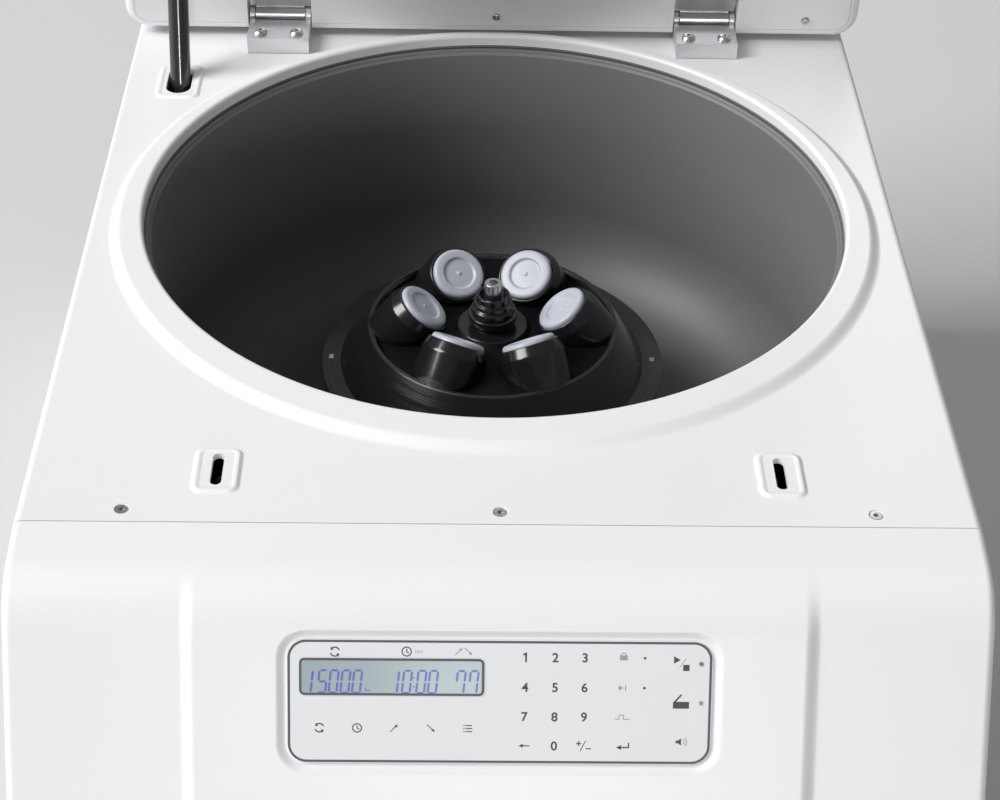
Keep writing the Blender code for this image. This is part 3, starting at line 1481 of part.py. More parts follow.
def make_compressor(black):
    centre = on_floor(-COMPRESSOR_X, COMPRESSOR_Y, 0)
    base = DECK_H - PAN_TOP_DROP + GAP
    dome = COMPRESSOR_R * COMPRESSOR_DOME_SHARE
    top = base + COMPRESSOR_H
    floor = base + COMPRESSOR_FOOT_T / 2
    profile = [(0, floor), (COMPRESSOR_R * COMPRESSOR_BASE_SHARE, floor)]
    profile += [(COMPRESSOR_R, base + dome), (COMPRESSOR_R, top - dome)]
    for i in range(1, CURVE_STEPS):
        turn = QUARTER * i / CURVE_STEPS
        profile.append((COMPRESSOR_R * math.cos(turn), top - dome + dome * math.sin(turn)))
    profile.append((0, top))
    pot = piece("compressor", shifted(lathe(profile, FAN_STEPS, closed=False), centre), black)
    half = COMPRESSOR_FOOT_W / 2
    half_x = half * COMPRESSOR_FOOT_SHARE
    foot = rounded_rect(-half_x, half_x, -half, half, half / 4)
    join(pot, shifted(prism(foot, base, base + COMPRESSOR_FOOT_T), centre))


def make_condenser(aluminium):
    base = DECK_H - PAN_TOP_DROP + GAP
    half = CONDENSER_W / 2
    low = on_floor(COOL_X - half, CONDENSER_FRONT_Y, base)
    high = on_floor(COOL_X + half, CONDENSER_FRONT_Y + CONDENSER_T, COOL_H + half)
    block = piece("condenser", box(low, high), aluminium, smooth=False)
    pitch = CONDENSER_W / (CONDENSER_FINS + 1)
    for i in range(CONDENSER_FINS):
        x = low.x + pitch * (i + 1)
        slot = pitch * FIN_SLOT_SHARE / 2
        cut(
            block,
            box(
                (x - slot, low.y - OVERRUN, low.z + FIN_SLOT_DEPTH),
                (x + slot, low.y + FIN_SLOT_DEPTH, high.z - FIN_SLOT_DEPTH),
            ),
        )


def make_fan(black, steel, parent):
    motor_front = CONDENSER_FRONT_Y + CONDENSER_T + GAP
    motor_back = motor_front + FAN_MOTOR_T
    shaft_end = FAN_Y + FAN_T * FAN_SHAFT_SHARE
    profile = [
        (0, motor_front),
        (FAN_MOTOR_R, motor_front),
        (FAN_MOTOR_R, motor_back),
        (FAN_SHAFT_R, motor_back),
        (FAN_SHAFT_R, shaft_end),
        (0, shaft_end),
    ]
    place = Vector((COOL_X, BOWL_Y, COOL_H))
    piece("fan_motor", shifted(along_y(lathe(profile, FAN_STEPS, closed=False)), place), steel)
    half = FAN_T / 2
    hub = [
        (0, half),
        (FAN_HUB_R, half - EDGE_R / 2),
        (FAN_HUB_R, -half),
        (FAN_SHAFT_R + GAP, -half),
        (FAN_SHAFT_R + GAP, FAN_T * FAN_BORE_SHARE),
        (0, FAN_T * FAN_BORE_SHARE),
    ]
    wheel = piece("fan_wheel", along_y(lathe(hub, FAN_STEPS, closed=False)), black, parent)
    root_r = FAN_HUB_R * FAN_ROOT_SHARE
    root_half = math.pi / FAN_BLADES * FAN_SWEEP_SHARE * FAN_HUB_R
    tip_half = math.pi / FAN_BLADES * FAN_SWEEP_SHARE * FAN_R * FAN_TIP_SHARE
    outline = [(root_r, -root_half), (FAN_R, -tip_half), (FAN_R, tip_half), (root_r, root_half)]
    blade = prism(outline, -FAN_BLADE_T / 2, FAN_BLADE_T / 2)
    pitched = moved(blade, Matrix.Rotation(QUARTER - math.radians(FAN_PITCH_DEG), 4, "X"))
    for i in range(FAN_BLADES):
        join(wheel, moved(pitched, Matrix.Rotation(math.tau * i / FAN_BLADES, 4, "Y")), parent)


# Mains inlet


def rocker_outline():
    """The rocker seen along its pivot, with two faces that meet in a shallow V."""
    reach = ROCKER_R * math.cos(ROCKER_FACE_TURN)
    rise = ROCKER_R * math.sin(ROCKER_FACE_TURN)
    outline = [(0, rise - ROCKER_DIP), (-reach, rise)]
    for i in range(ROCKER_STEPS + 1):
        turn = math.pi + ROCKER_FOOT_TURN * i / ROCKER_STEPS
        outline.append((ROCKER_R * math.cos(turn), ROCKER_R * math.sin(turn)))
    for x, y in reversed(outline[1:]):
        outline.append((-x, y))
    return outline


def make_inlet(dark, black):
    """The power entry in the rear panel: a plug socket below, the rocker switch above."""
    half_w = INLET_W / 2
    half_l = INLET_L / 2
    middle = on_floor(INLET_X, REAR_REACH + GAP, INLET_H)
    flange = box((-half_w, 0, -half_l), (half_w, INLET_T, half_l))
    body_w = half_w - INLET_FLANGE - GAP
    body_l = half_l - INLET_FLANGE - GAP
    inlet = piece("mains_inlet", shifted(flange, middle), dark, smooth=False)
    join(inlet, shifted(box((-body_w, -INLET_DEPTH, -body_l), (body_w, INLET_T / 2, body_l)), middle))
    socket = middle + Vector((0, INLET_T, -SOCKET_DROP))
    half_w = SOCKET_W / 2
    half_h = SOCKET_H / 2
    corner = SOCKET_H / 3
    outline = [
        (-half_w, -half_h),
        (half_w, -half_h),
        (half_w, half_h - corner),
        (half_w - corner, half_h),
        (-half_w + corner, half_h),
        (-half_w, half_h - corner),
    ]
    cut(inlet, shifted(prism_y(outline, -SOCKET_DEPTH, OVERRUN), socket))
    for i in (-1, 0, 1):
        x = i * BLADE_PITCH
        z = BLADE_RISE if i == 0 else 0
        low = (x - BLADE_W / 2, -SOCKET_DEPTH - BLADE_W, z - BLADE_H / 2)
        high = (x + BLADE_W / 2, -SOCKET_DEPTH + BLADE_L, z + BLADE_H / 2)
        join(inlet, shifted(box(low, high), socket))
    switch = middle + Vector((0, INLET_T, SWITCH_RISE))
    half_w = SWITCH_W / 2
    half_h = SWITCH_H / 2
    cut(inlet, shifted(box((-half_w, -SWITCH_DEPTH, -half_h), (half_w, OVERRUN, half_h)), switch))
    pivot = empty("rocker_axis", switch - Vector((0, ROCKER_PIVOT_DEPTH, 0)), (0, 0, -ROCKER_TILT))
    half_h -= ROCKER_CLEAR
    piece("mains_rocker", prism(rocker_outline(), -half_h, half_h), black, pivot, smooth=False)


def main():
    for obj in list(bpy.data.objects):
        bpy.data.objects.remove(obj)
    white = material("white_paint", (0.86, 0.87, 0.89), 0.35)
    liner = material("white_liner", (0.84, 0.85, 0.88), 0.40)
    sheet = material("galvanised", (0.55, 0.56, 0.58), 0.45, 0.9)
    steel = material("steel", (0.60, 0.60, 0.62), 0.30, 1.0)
    chrome = material("chrome", (0.75, 0.75, 0.77), 0.12, 1.0)
    alloy = material("light_alloy", (0.72, 0.73, 0.75), 0.35, 0.8)
    coated = material("bowl_coating", (0.16, 0.16, 0.17), 0.42, 0.5)
    rubber = material("rubber", (0.03, 0.03, 0.03), 0.75)
    foam = material("foam", (0.12, 0.12, 0.13), 0.95)
    black = material("black_anodised", (0.02, 0.02, 0.025), 0.22, 0.6)
    dark = material("black_plastic", (0.04, 0.04, 0.045), 0.45)
    clear = material("tube_plastic", (0.75, 0.78, 0.80), 0.30)
    cap = material("cap_plastic", (0.72, 0.74, 0.78), 0.38)
    film = material("foil_film", (0.80, 0.82, 0.84), 0.40)
    glass = material("display", (0.45, 0.55, 0.60), 0.15)
    make_base(sheet, rubber)
    make_side_panels(white)
    make_rear_panel(white)
    make_deck(white)
    make_deck_screws(steel)
    make_front_panel(white)
    make_foil(film, glass)
    make_bowl(coated, rubber, foam)
    make_motor(dark, sheet)
    spin = empty("spin_axis", at_bowl(0, 0, 0))
    make_shaft(steel, spin)
    make_rotor(black, steel, clear, cap, spin)
    lid_axis = empty("lid_axis", at_bowl(0, HINGE_REACH, HINGE_RISE), (-LID_OPEN, 0, 0))
    make_lid(white, liner, steel, lid_axis)
    make_hinges(alloy, steel, lid_axis)
    make_latch(steel, dark)
    make_gas_spring(black, chrome, steel, lid_axis)
    make_compressor(black)
    make_condenser(alloy)
    fan_axis = empty("fan_axis", on_floor(COOL_X, FAN_Y, COOL_H))
    make_fan(dark, steel, fan_axis)
    make_inlet(dark, black)


main()
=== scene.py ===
# %% [markdown]
# # Dressing a refrigerated bench centrifuge
#
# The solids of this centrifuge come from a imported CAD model. They have the right sizes and joints, but
# few facets and plain colours. This lesson gives each of them the finish of the real thing, and builds
# finer pieces where facets, missing screws or missing print would show. Everything is in metres, in the
# frame of the CAD: +X to the operator's right, +Y to the rear, +Z up.

# %% Load the solids
import json
import math

import bmesh
import bpy
from mathutils import Matrix, Vector

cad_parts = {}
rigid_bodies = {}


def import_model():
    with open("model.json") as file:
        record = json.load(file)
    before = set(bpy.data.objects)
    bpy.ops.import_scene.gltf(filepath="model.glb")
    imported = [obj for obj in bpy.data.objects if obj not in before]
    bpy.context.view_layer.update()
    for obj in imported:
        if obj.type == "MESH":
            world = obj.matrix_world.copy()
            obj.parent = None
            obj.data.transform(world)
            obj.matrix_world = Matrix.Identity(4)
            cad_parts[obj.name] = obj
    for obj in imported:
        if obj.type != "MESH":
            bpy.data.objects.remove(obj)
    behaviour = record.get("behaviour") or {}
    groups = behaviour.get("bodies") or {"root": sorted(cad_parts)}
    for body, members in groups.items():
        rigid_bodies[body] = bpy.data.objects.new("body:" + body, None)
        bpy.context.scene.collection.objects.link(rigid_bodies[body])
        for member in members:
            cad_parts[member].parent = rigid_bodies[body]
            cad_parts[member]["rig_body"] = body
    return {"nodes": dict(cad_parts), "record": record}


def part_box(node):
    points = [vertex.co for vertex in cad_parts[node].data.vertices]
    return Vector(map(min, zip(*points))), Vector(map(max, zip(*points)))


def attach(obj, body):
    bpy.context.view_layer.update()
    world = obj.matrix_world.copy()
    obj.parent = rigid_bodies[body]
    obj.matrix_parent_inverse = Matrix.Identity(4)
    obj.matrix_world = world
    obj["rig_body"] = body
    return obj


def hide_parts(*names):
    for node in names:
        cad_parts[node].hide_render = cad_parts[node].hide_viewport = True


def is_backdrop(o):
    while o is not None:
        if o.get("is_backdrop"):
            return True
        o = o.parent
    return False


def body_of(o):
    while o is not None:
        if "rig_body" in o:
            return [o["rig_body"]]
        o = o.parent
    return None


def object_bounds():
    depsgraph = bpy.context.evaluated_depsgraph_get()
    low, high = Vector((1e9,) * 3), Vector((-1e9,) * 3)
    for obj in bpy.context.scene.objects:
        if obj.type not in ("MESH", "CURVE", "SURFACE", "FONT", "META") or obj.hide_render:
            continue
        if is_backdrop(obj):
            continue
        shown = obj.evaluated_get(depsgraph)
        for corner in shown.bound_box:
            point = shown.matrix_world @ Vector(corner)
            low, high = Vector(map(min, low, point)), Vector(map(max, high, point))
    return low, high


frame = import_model()
cad_low, cad_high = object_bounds()

# %% [markdown]
# ## Finding the bowl
#
# Nearly everything on this machine sits round the bowl: the raised ring, the latches, the hinges and the
# gas spring. So one helper turns "so far from the bowl's axis, so far above the deck" into a place.
# The axis and the deck's height are measured from the solids rather than typed again.

# %% Places from the bowl's axis
RING_RISE = 0.004
bowl_low, bowl_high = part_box("bowl")
axis_x = (bowl_low.x + bowl_high.x) / 2
axis_y = (bowl_low.y + bowl_high.y) / 2
deck_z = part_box("top_deck")[1].z - RING_RISE
QUARTER = math.pi / 2
SIDES = {"left": -1, "right": 1}


def at_bowl(x, y, z):
    """A place given from the bowl's axis and the top of the deck."""
    return Vector((axis_x + x, axis_y + y, deck_z + z))


bowl_axis = Matrix.Translation(at_bowl(0, 0, 0))
print("bowl axis:", round(axis_x, 5), round(axis_y, 5), "deck height:", round(deck_z, 4))

# %% [markdown]
# ## Camera
#
# The photograph looks down into the bowl from the operator's side, 37.5 degrees below the horizon, with
# a slight turn and a slight tilt of the horizon. The lens and the place were worked out from the round
# rim, the front seam and the control panel, whose true shapes are known. A camera's own axes are X to
# the right, Y up and Z backwards, so its matrix is built from those three directions.

# %% Camera at the photograph's angle
PITCH = math.radians(37.54)
YAW = math.radians(1.50)
ROLL = math.radians(1.45)
LENS = 77.54
CAMERA_PLACE = at_bowl(-0.0257, -1.2336, 0.7830)


def placed(name, data):
    """An object in the scene that shows the data."""
    obj = bpy.data.objects.new(name, data)
    bpy.context.scene.collection.objects.link(obj)
    return obj


ahead = Vector(
    (math.sin(YAW) * math.cos(PITCH), math.cos(YAW) * math.cos(PITCH), -math.sin(PITCH))
)
level = Vector((math.cos(YAW), -math.sin(YAW), 0))
upright = level.cross(ahead)
camera_x = level * math.cos(ROLL) + upright * math.sin(ROLL)
camera_y = upright * math.cos(ROLL) - level * math.sin(ROLL)
pose = Matrix((camera_x, camera_y, -ahead)).transposed().to_4x4()
pose.translation = CAMERA_PLACE

camera = placed("camera", bpy.data.cameras.new("camera"))
camera.data.lens = LENS
camera.data.sensor_width = 36
camera.matrix_world = pose
bpy.context.scene.camera = camera
bpy.context.scene.view_settings.view_transform = "Standard"
print("camera at", [round(v, 3) for v in CAMERA_PLACE])

# %% [markdown]
# ## Shader maths as Python
#
# A material's nodes are easier to read as a sum than as a web of links. `Socket` wraps one output of a
# node, and its operators add Math nodes, also where the number comes first, as in `1 - mask`. `Finish`
# holds one material. Its `node` method makes any other node: first the settings, then the inputs. Its
# `cover` method links what nearly every finish varies: colour, roughness and a fine relief.


# %% A socket that can be added and multiplied
class Socket:
    """One output of a node, used in Python expressions."""

    def __init__(self, finish, socket):
        self.finish = finish
        self.socket = socket

    def maths(self, operation, first, second):
        return self.finish.node("ShaderNodeMath", {"operation": operation}, {0: first, 1: second})

    def __add__(self, other):
        return self.maths("ADD", self, other)

    def __radd__(self, other):
        return self.maths("ADD", other, self)

    def __sub__(self, other):
        return self.maths("SUBTRACT", self, other)

    def __rsub__(self, other):
        return self.maths("SUBTRACT", other, self)

    def __mul__(self, other):
        return self.maths("MULTIPLY", self, other)

    def __rmul__(self, other):
        return self.maths("MULTIPLY", other, self)

    def __gt__(self, other):
        return self.maths("GREATER_THAN", self, other)

    def __lt__(self, other):
        return self.maths("LESS_THAN", self, other)


# %% A finish: one material and the node helpers it needs
finishes = {}
slot_of = {part["node"]: part["material_slot"] for part in frame["record"]["subparts"]}


class Finish:
    """One surface finish. It stands for the record's material slot of the same name, if any."""

    def __init__(self, name, colour, roughness, metallic=0.0, fixed=None):
        finishes[name] = self
        self.slot = name if name in slot_of.values() else None
        self.material = bpy.data.materials.new(name)
        self.material.use_nodes = True
        self.tree = self.material.node_tree
        self.shader = self.tree.nodes["Principled BSDF"]
        self.material.diffuse_color = (*colour, 1)
        plain = {"Base Color": (*colour, 1), "Roughness": roughness, "Metallic": metallic}
        for key, value in {**plain, **(fixed or {})}.items():
            self.shader.inputs[key].default_value = value

    def node(self, kind, settings=None, values=None, output=0):
        made = self.tree.nodes.new(kind)
        for key, value in (settings or {}).items():
            setattr(made, key, value)
        for key, value in (values or {}).items():
            if isinstance(value, Socket):
                self.tree.links.new(value.socket, made.inputs[key])
            else:
                made.inputs[key].default_value = value
        return Socket(self, made.outputs[output])

    def put(self, name, value):
        self.tree.links.new(value.socket, self.shader.inputs[name])

    def vector(self, operation, values, output=0):
        return self.node("ShaderNodeVectorMath", {"operation": operation}, values, output)

    def own(self):
        """The surface's own coordinates in metres."""
        return self.node("ShaderNodeTexCoord", output="Object")

    def height(self):
        return self.node("ShaderNodeSeparateXYZ", {}, {0: self.own()}, "Z")

    def noise(self, scale, detail=2.0, rough=0.5, stretch=(1, 1, 1)):
        """Noise in the surface's own coordinates, squeezed by a factor along each axis."""
        place = self.vector("MULTIPLY", {0: self.own(), 1: stretch})
        values = {"Vector": place, "Scale": scale, "Detail": detail, "Roughness": rough}
        return self.node("ShaderNodeTexNoise", {}, values)

    def cells(self, scale):
        values = {"Vector": self.own(), "Scale": scale}
        return self.node("ShaderNodeTexVoronoi", {}, values, "Distance")

    def mix(self, first, second, share):
        values = {0: share, 6: (*first, 1), 7: (*second, 1)}
        return self.node("ShaderNodeMix", {"data_type": "RGBA"}, values, 2)

    def cover(self, first, second, share, roughness=None, height=None, depth=0):
        """Links what nearly every finish varies: its colour, its roughness and a fine relief."""
        self.put("Base Color", self.mix(first, second, share))
        if roughness is not None:
            self.put("Roughness", roughness)
        if height is not None:
            relief = {"Height": height, "Distance": depth}
            self.put("Normal", self.node("ShaderNodeBump", {}, relief))


def tone(colour, share):
    return tuple(channel * share for channel in colour)


print("helpers ready")

# %% [markdown]
# ## White paint and white mouldings
#
# The deck and the side panels are sheet metal with a satin powder coat. Seen close, a powder coat is
# never flat: it has a fine orange peel about a millimetre across, and its gloss drifts a little. Both
# come from noise in object space, in metres, so they have the real scale and need no unwrapping. The
# front and the lid are mouldings with a finer, flatter grain, and the lid's liner is the same, but matt.


# %% White finishes
def make_white(name, colour, roughness, peel_scale, peel_depth, coat):
    finish = Finish(name, colour, roughness, fixed={"Coat Weight": coat, "Coat Roughness": 0.25})
    drift, peel = finish.noise(7, 3), finish.noise(peel_scale)
    gloss = roughness - 0.05 + 0.06 * drift + 0.04 * peel
    finish.cover(tone(colour, 0.985), tone(colour, 1.01), drift, gloss, peel, peel_depth)


make_white("white_paint", (0.87, 0.872, 0.88), 0.42, 520, 0.00006, 0.15)
make_white("white_moulding", (0.865, 0.867, 0.88), 0.40, 1400, 0.00002, 0.12)
make_white("white_liner", (0.85, 0.855, 0.875), 0.55, 2200, 0.00003, 0.0)
print("white finishes:", list(finishes))

# %% [markdown]
# ## Bare metals
#
# Bright steel is brushed: long thin scratches along one direction. Noise squeezed across one axis and
# stretched along another gives them, and they feed roughness and bump but hardly the colour. Zinc-coated
# sheet shows flat crystals some millimetres across, which Voronoi cells imitate. The spring's rod is
# polished, so it has only faint drawing lines along its length.


# %% Brushed, polished and zinc-coated metal
def make_brushed(name, colour, roughness, stretch, depth, metallic=1.0):
    finish = Finish(name, colour, roughness, metallic)
    lines = finish.noise(1, 3, 0.7, stretch)
    share = 0.5 * lines + 0.5 * finish.noise(60)
    gloss = roughness - 0.06 + 0.12 * lines
    finish.cover(tone(colour, 0.93), tone(colour, 1.03), share, gloss, lines, depth)


make_brushed("steel", (0.62, 0.62, 0.63), 0.30, (60, 4200, 4200), 0.000004)
make_brushed("chrome", (0.80, 0.80, 0.82), 0.10, (2600, 2600, 40), 0.000001)
make_brushed("light_alloy", (0.74, 0.745, 0.76), 0.42, (90, 3600, 3600), 0.000005, 0.85)

zinc = Finish("sheet", (0.55, 0.56, 0.58), 0.45, 0.9)
crystal, fleck = zinc.cells(170), zinc.noise(240)
share = crystal + 0.3 * fleck
zinc.cover((0.46, 0.47, 0.49), (0.62, 0.63, 0.65), share, 0.34 + 0.3 * crystal, fleck, 0.00001)

bead_metal = Finish("bead_metal", (0.20, 0.20, 0.205), 0.6, 0.3)
wear = bead_metal.noise(900)
bead_metal.cover((0.18, 0.18, 0.184), (0.22, 0.22, 0.225), wear, 0.55 + 0.1 * wear)
print("with the metals:", list(finishes))

# %% [markdown]
# ## The bowl's coating
#
# The bowl is a deep-drawn steel pot with a dark grey satin coating. In the photograph it is pale near
# its rim and nearly black at its floor, all round. So the coating is mostly diffuse, and painted shade
# makes its colour darker with depth, where less light reaches. A fine speckle keeps it from looking
# like smoke, and rings of slightly different gloss show that it was spun while it was coated.

# %% Bowl coating, with painted shade by depth
FULL_SHADE_DROP, NO_SHADE_DROP = 0.20, 0.06
coating = Finish("bowl_coating", (0.22, 0.22, 0.225), 0.50, 0.15)
speck, broad = coating.noise(1700), coating.noise(12, 3)
spun = coating.noise(1, stretch=(6, 6, 420))
# Painted shade: the base colour goes from pale at the rim to nearly black at the floor, for the shade deep
# in the bowl.
painted_shade_depths = {"From Min": deck_z - FULL_SHADE_DROP, "From Max": deck_z - NO_SHADE_DROP}
painted_light_by_depth = coating.node("ShaderNodeMapRange", {}, {"Value": coating.height(), **painted_shade_depths})
share = 0.75 * painted_light_by_depth + 0.15 * speck + 0.10 * broad
gloss = 0.50 + 0.05 * speck + 0.04 * spun
# The first colour is the painted shade of the floor, the second the colour of the lit rim.
coating.cover((0.085, 0.085, 0.088), (0.240, 0.240, 0.246), share, gloss, speck, 0.00002)
print("bowl coating ready")

# %% [markdown]
# ## Blacks
#
# Four blacks that must not look alike. The rotor is turned from aluminium and anodised, so fine tool
# marks run round its axis under a deep gloss, and only the well between its bosses is matt. The gas
# spring is lacquered tube, the rubber is matt with a bloom of dust, and the mouldings have a fine
# spark-eroded grain. The foam shows its closed cells.


# %% Black finishes
def make_black(name, colour, roughness, scale, depth, coat=0.0, lift=1.6):
    finish = Finish(name, colour, roughness, fixed={"Coat Weight": coat, "Coat Roughness": 0.08})
    grain, bloom = finish.noise(scale, 3, 0.6), finish.noise(45, 3)
    share = 0.6 * bloom + 0.4 * grain
    gloss = roughness - 0.04 + 0.08 * grain + 0.05 * bloom
    finish.cover(colour, tone(colour, lift), share, gloss, grain, depth)


make_black("rubber", (0.025, 0.025, 0.026), 0.72, 1500, 0.00004, lift=2.0)
make_black("dark_casting", (0.030, 0.030, 0.032), 0.34, 420, 0.00008, coat=0.3)
make_black("dark_plastic", (0.028, 0.028, 0.030), 0.46, 2600, 0.00003)
make_black("black_tube", (0.018, 0.018, 0.020), 0.20, 300, 0.00001, coat=0.6)

foam = Finish("foam", (0.03, 0.03, 0.032), 0.95)
cell = foam.cells(420)
foam.cover((0.05, 0.05, 0.052), (0.018, 0.018, 0.02), cell, height=cell, depth=0.0004)

seal_rubber = Finish("seal_rubber", (0.13, 0.13, 0.135), 0.6)
chalk = seal_rubber.noise(260, 3)
seal_rubber.cover((0.11, 0.11, 0.113), (0.16, 0.16, 0.165), chalk, 0.55 + 0.12 * chalk)

# %% Turned and anodised black for the rotor
WELL_R, WELL_DROP, MARKS_R = 0.0832, 0.0975, 0.0835
lacquer = {"Coat Weight": 0.5, "Coat Roughness": 0.12}
anodised = Finish("black_anodised", (0.012, 0.012, 0.014), 0.20, 0.35, lacquer)
from_axis = anodised.vector("SUBTRACT", {0: anodised.own(), 1: (axis_x, axis_y, 0)})
flat = anodised.vector("MULTIPLY", {0: from_axis, 1: (1, 1, 0)})
radius = anodised.vector("LENGTH", {0: flat}, "Value")
height = anodised.height()
marks = anodised.node(
    "ShaderNodeTexNoise",
    {"noise_dimensions": "1D"},
    {"W": 1500 * radius + 1300 * height, "Detail": 1},
)
haze = anodised.noise(55, 3)
well = (WELL_R > radius) * (deck_z - WELL_DROP > height)
gloss = 0.17 + 0.06 * marks + 0.04 * haze + 0.35 * well
relief = marks * (radius > MARKS_R)
anodised.cover((0.010, 0.010, 0.012), (0.018, 0.018, 0.021), haze, gloss, relief, 0.00014)
anodised.put("Metallic", 0.3 + 0.6 * well)
anodised.put("Coat Weight", 0.4 - 0.4 * well)
print("with the blacks:", len(finishes))

# %% [markdown]
# ## Milky plastics, film and display
#
# The tubes and their caps are natural polypropylene: milky, a little blue, with light bleeding into
# them. Subsurface scattering gives that, and the same number all over goes straight into the shader.
# The control foil is printed polyester with a fine texture, and the display behind it is a pale
# blue-grey panel under a smooth window.


# %% Translucent plastic
def make_milky(name, colour, roughness, weight):
    bleed = {"Subsurface Weight": weight, "Subsurface Radius": (0.004, 0.004, 0.005)}
    finish = Finish(name, colour, roughness, fixed=bleed)
    cloud, grain = finish.noise(160, 3), finish.noise(2600)
    gloss = roughness - 0.05 + 0.1 * grain
    finish.cover(tone(colour, 0.93), tone(colour, 1.05), cloud, gloss, grain, 0.00001)


make_milky("tube_plastic", (0.66, 0.70, 0.74), 0.30, 0.5)
make_milky("cap_plastic", (0.50, 0.52, 0.58), 0.36, 0.35)

# %% Foil, display and print
film = Finish("foil_film", (0.80, 0.81, 0.825), 0.48)
weave, tint = film.noise(3000), film.noise(14)
film.cover((0.78, 0.79, 0.805), (0.82, 0.83, 0.845), tint, 0.42 + 0.12 * weave, weave, 0.00002)

dull = {"Specular IOR Level": 0.2, "Coat Weight": 0.1, "Coat Roughness": 0.1}
glass = Finish("display", (0.33, 0.40, 0.42), 0.25, fixed=dull)
wash = glass.noise(24)
glass.cover((0.30, 0.37, 0.39), (0.36, 0.43, 0.45), wash, 0.2 + 0.1 * wash)


def make_ink(name, colour, roughness=0.5, fixed=None):
    finish = Finish(name, colour, roughness, fixed=fixed)
    finish.cover(tone(colour, 0.9), tone(colour, 1.1), finish.noise(2400))


glow = {"Emission Color": (0.10, 0.45, 0.03, 1), "Emission Strength": 0.06}
make_ink("slate_ink", (0.085, 0.09, 0.11))
make_ink("key_ink", (0.055, 0.055, 0.062))
make_ink("faint_ink", (0.33, 0.34, 0.36))
make_ink("digit_ink", (0.05, 0.055, 0.42), 0.3)
make_ink("pale_ink", (0.60, 0.61, 0.63))
make_ink("lamp_green", (0.05, 0.20, 0.02), 0.25, glow)
make_ink("lamp_dark", (0.02, 0.02, 0.022), 0.2)
print("finishes:", len(finishes))

# %% [markdown]
# ## Shapes
#
# Four helpers make nearly every piece. `softened` rounds the corners of a drawn line, because no real
# edge is perfectly sharp and a small radius is what catches the light. `turned` spins such a line about
# Z, `loft` joins cross-sections, and `prism` raises an outline. A shape is a pair: points and faces.


# %% Arcs, and rounding the corners of a line
STRAIGHT, NEARLY_HALF = 0.02, 0.48


def polar(x, y, radius, degrees):
    turn = math.radians(degrees)
    return x + radius * math.cos(turn), y + radius * math.sin(turn)


def arc(x, y, radius, start, end, steps=16):
    """Points along an arc whose angles are given in degrees."""
    return [polar(x, y, radius, start + (end - start) * i / steps) for i in range(steps + 1)]


def circle(x, y, radius, steps):
    return arc(x, y, radius, 0, 360, steps)[:-1]


def bezier(start, control, end, steps):
    points = []
    for i in range(steps + 1):
        t = i / steps
        shares = ((1 - t) ** 2, 2 * t * (1 - t), t**2)
        columns = zip(start, control, end)
        points.append(tuple(sum(s * v for s, v in zip(shares, column)) for column in columns))
    return points


def softened(line, radius, steps=4, closed=False):
    """Rounds a line's corners. radius is one number, or one for each point."""
    count = len(line)
    radii = radius if isinstance(radius, (list, tuple)) else [radius] * count
    points = []
    for i, here in enumerate(line):
        if not closed and i in (0, count - 1) or radii[i] == 0:
            points.append(tuple(here))
            continue
        corner = Vector(here)
        before = Vector(line[i - 1]) - corner
        after = Vector(line[(i + 1) % count]) - corner
        angle = before.angle(after)
        if angle > math.pi - STRAIGHT:
            points.append(tuple(here))
            continue
        most = NEARLY_HALF * min(before.length, after.length)
        reach = min(radii[i] / math.tan(angle / 2), most)
        start = corner + before.normalized() * reach
        end = corner + after.normalized() * reach
        points += bezier(start, corner, end, steps)
    return points


def eased(corners, steps=4, closed=False):
    """The same for a line of (point, radius) pairs."""
    line, radii = zip(*corners)
    return softened(line, radii, steps, closed)


# %% Turning, lofting and raising
TOUCH = 1e-9


def turned(profile, steps, closed=False):
    """Spins (radius, height) points about Z. An open profile starts and ends on the axis."""
    points, rings, faces = [], [], []
    for radius, height in profile:
        if radius < TOUCH:
            rings.append([len(points)] * steps)
            points.append((0, 0, height))
            continue
        rings.append(list(range(len(points), len(points) + steps)))
        points += [(x, y, height) for x, y in circle(0, 0, radius, steps)]
    pairs = list(zip(rings, rings[1:]))
    if closed:
        pairs.append((rings[-1], rings[0]))
    for low, high in pairs:
        for i in range(steps):
            j = (i + 1) % steps
            face = list(dict.fromkeys((low[i], low[j], high[j], high[i])))
            if len(face) > 2:
                faces.append(face)
    return points, faces


def loft(rings):
    count = len(rings[0])
    points = [tuple(p) for ring in rings for p in ring]
    faces = [tuple(range(count))]
    for k in range(len(rings) - 1):
        start = k * count
        for i in range(count):
            j = (i + 1) % count
            faces.append((start + i, start + j, start + count + j, start + count + i))
    faces.append(tuple(range(len(points) - count, len(points))))
    return points, faces


def prism(outline, low, high):
    return loft([[(x, y, low) for x, y in outline], [(x, y, high) for x, y in outline]])


def box(low, high):
    corners = [(low[0], low[1]), (high[0], low[1]), (high[0], high[1]), (low[0], high[1])]
    return prism(corners, low[2], high[2])


def moved(shape, matrix):
    points, faces = shape
    return [tuple(matrix @ Vector(p)) for p in points], faces


def shifted(shape, offset):
    return moved(shape, Matrix.Translation(offset))


def along_x(shape):
    return moved(shape, Matrix.Rotation(QUARTER, 4, "Y"))


def rounded_rect(low_x, high_x, low_y, high_y, front_r, steps=8, rear_r=None):
    """A rectangle with round corners. The rear ones are like the front ones without rear_r."""
    rear_r = front_r if rear_r is None else rear_r
    return (
        arc(low_x + front_r, low_y + front_r, front_r, 180, 270, steps)
        + arc(high_x - front_r, low_y + front_r, front_r, 270, 360, steps)
        + arc(high_x - rear_r, high_y - rear_r, rear_r, 360, 450, steps)
        + arc(low_x + rear_r, high_y - rear_r, rear_r, 450, 540, steps)
    )


def rounded(x, y, half_w, half_l, radius, steps=8):
    """A rectangle with round corners, given by its centre and its half sizes."""
    return rounded_rect(x - half_w, x + half_w, y - half_l, y + half_l, radius, steps)


def smoothstep(t):
    t = min(max(t, 0), 1)
    return t * t * (3 - 2 * t)


print("shape helpers ready")

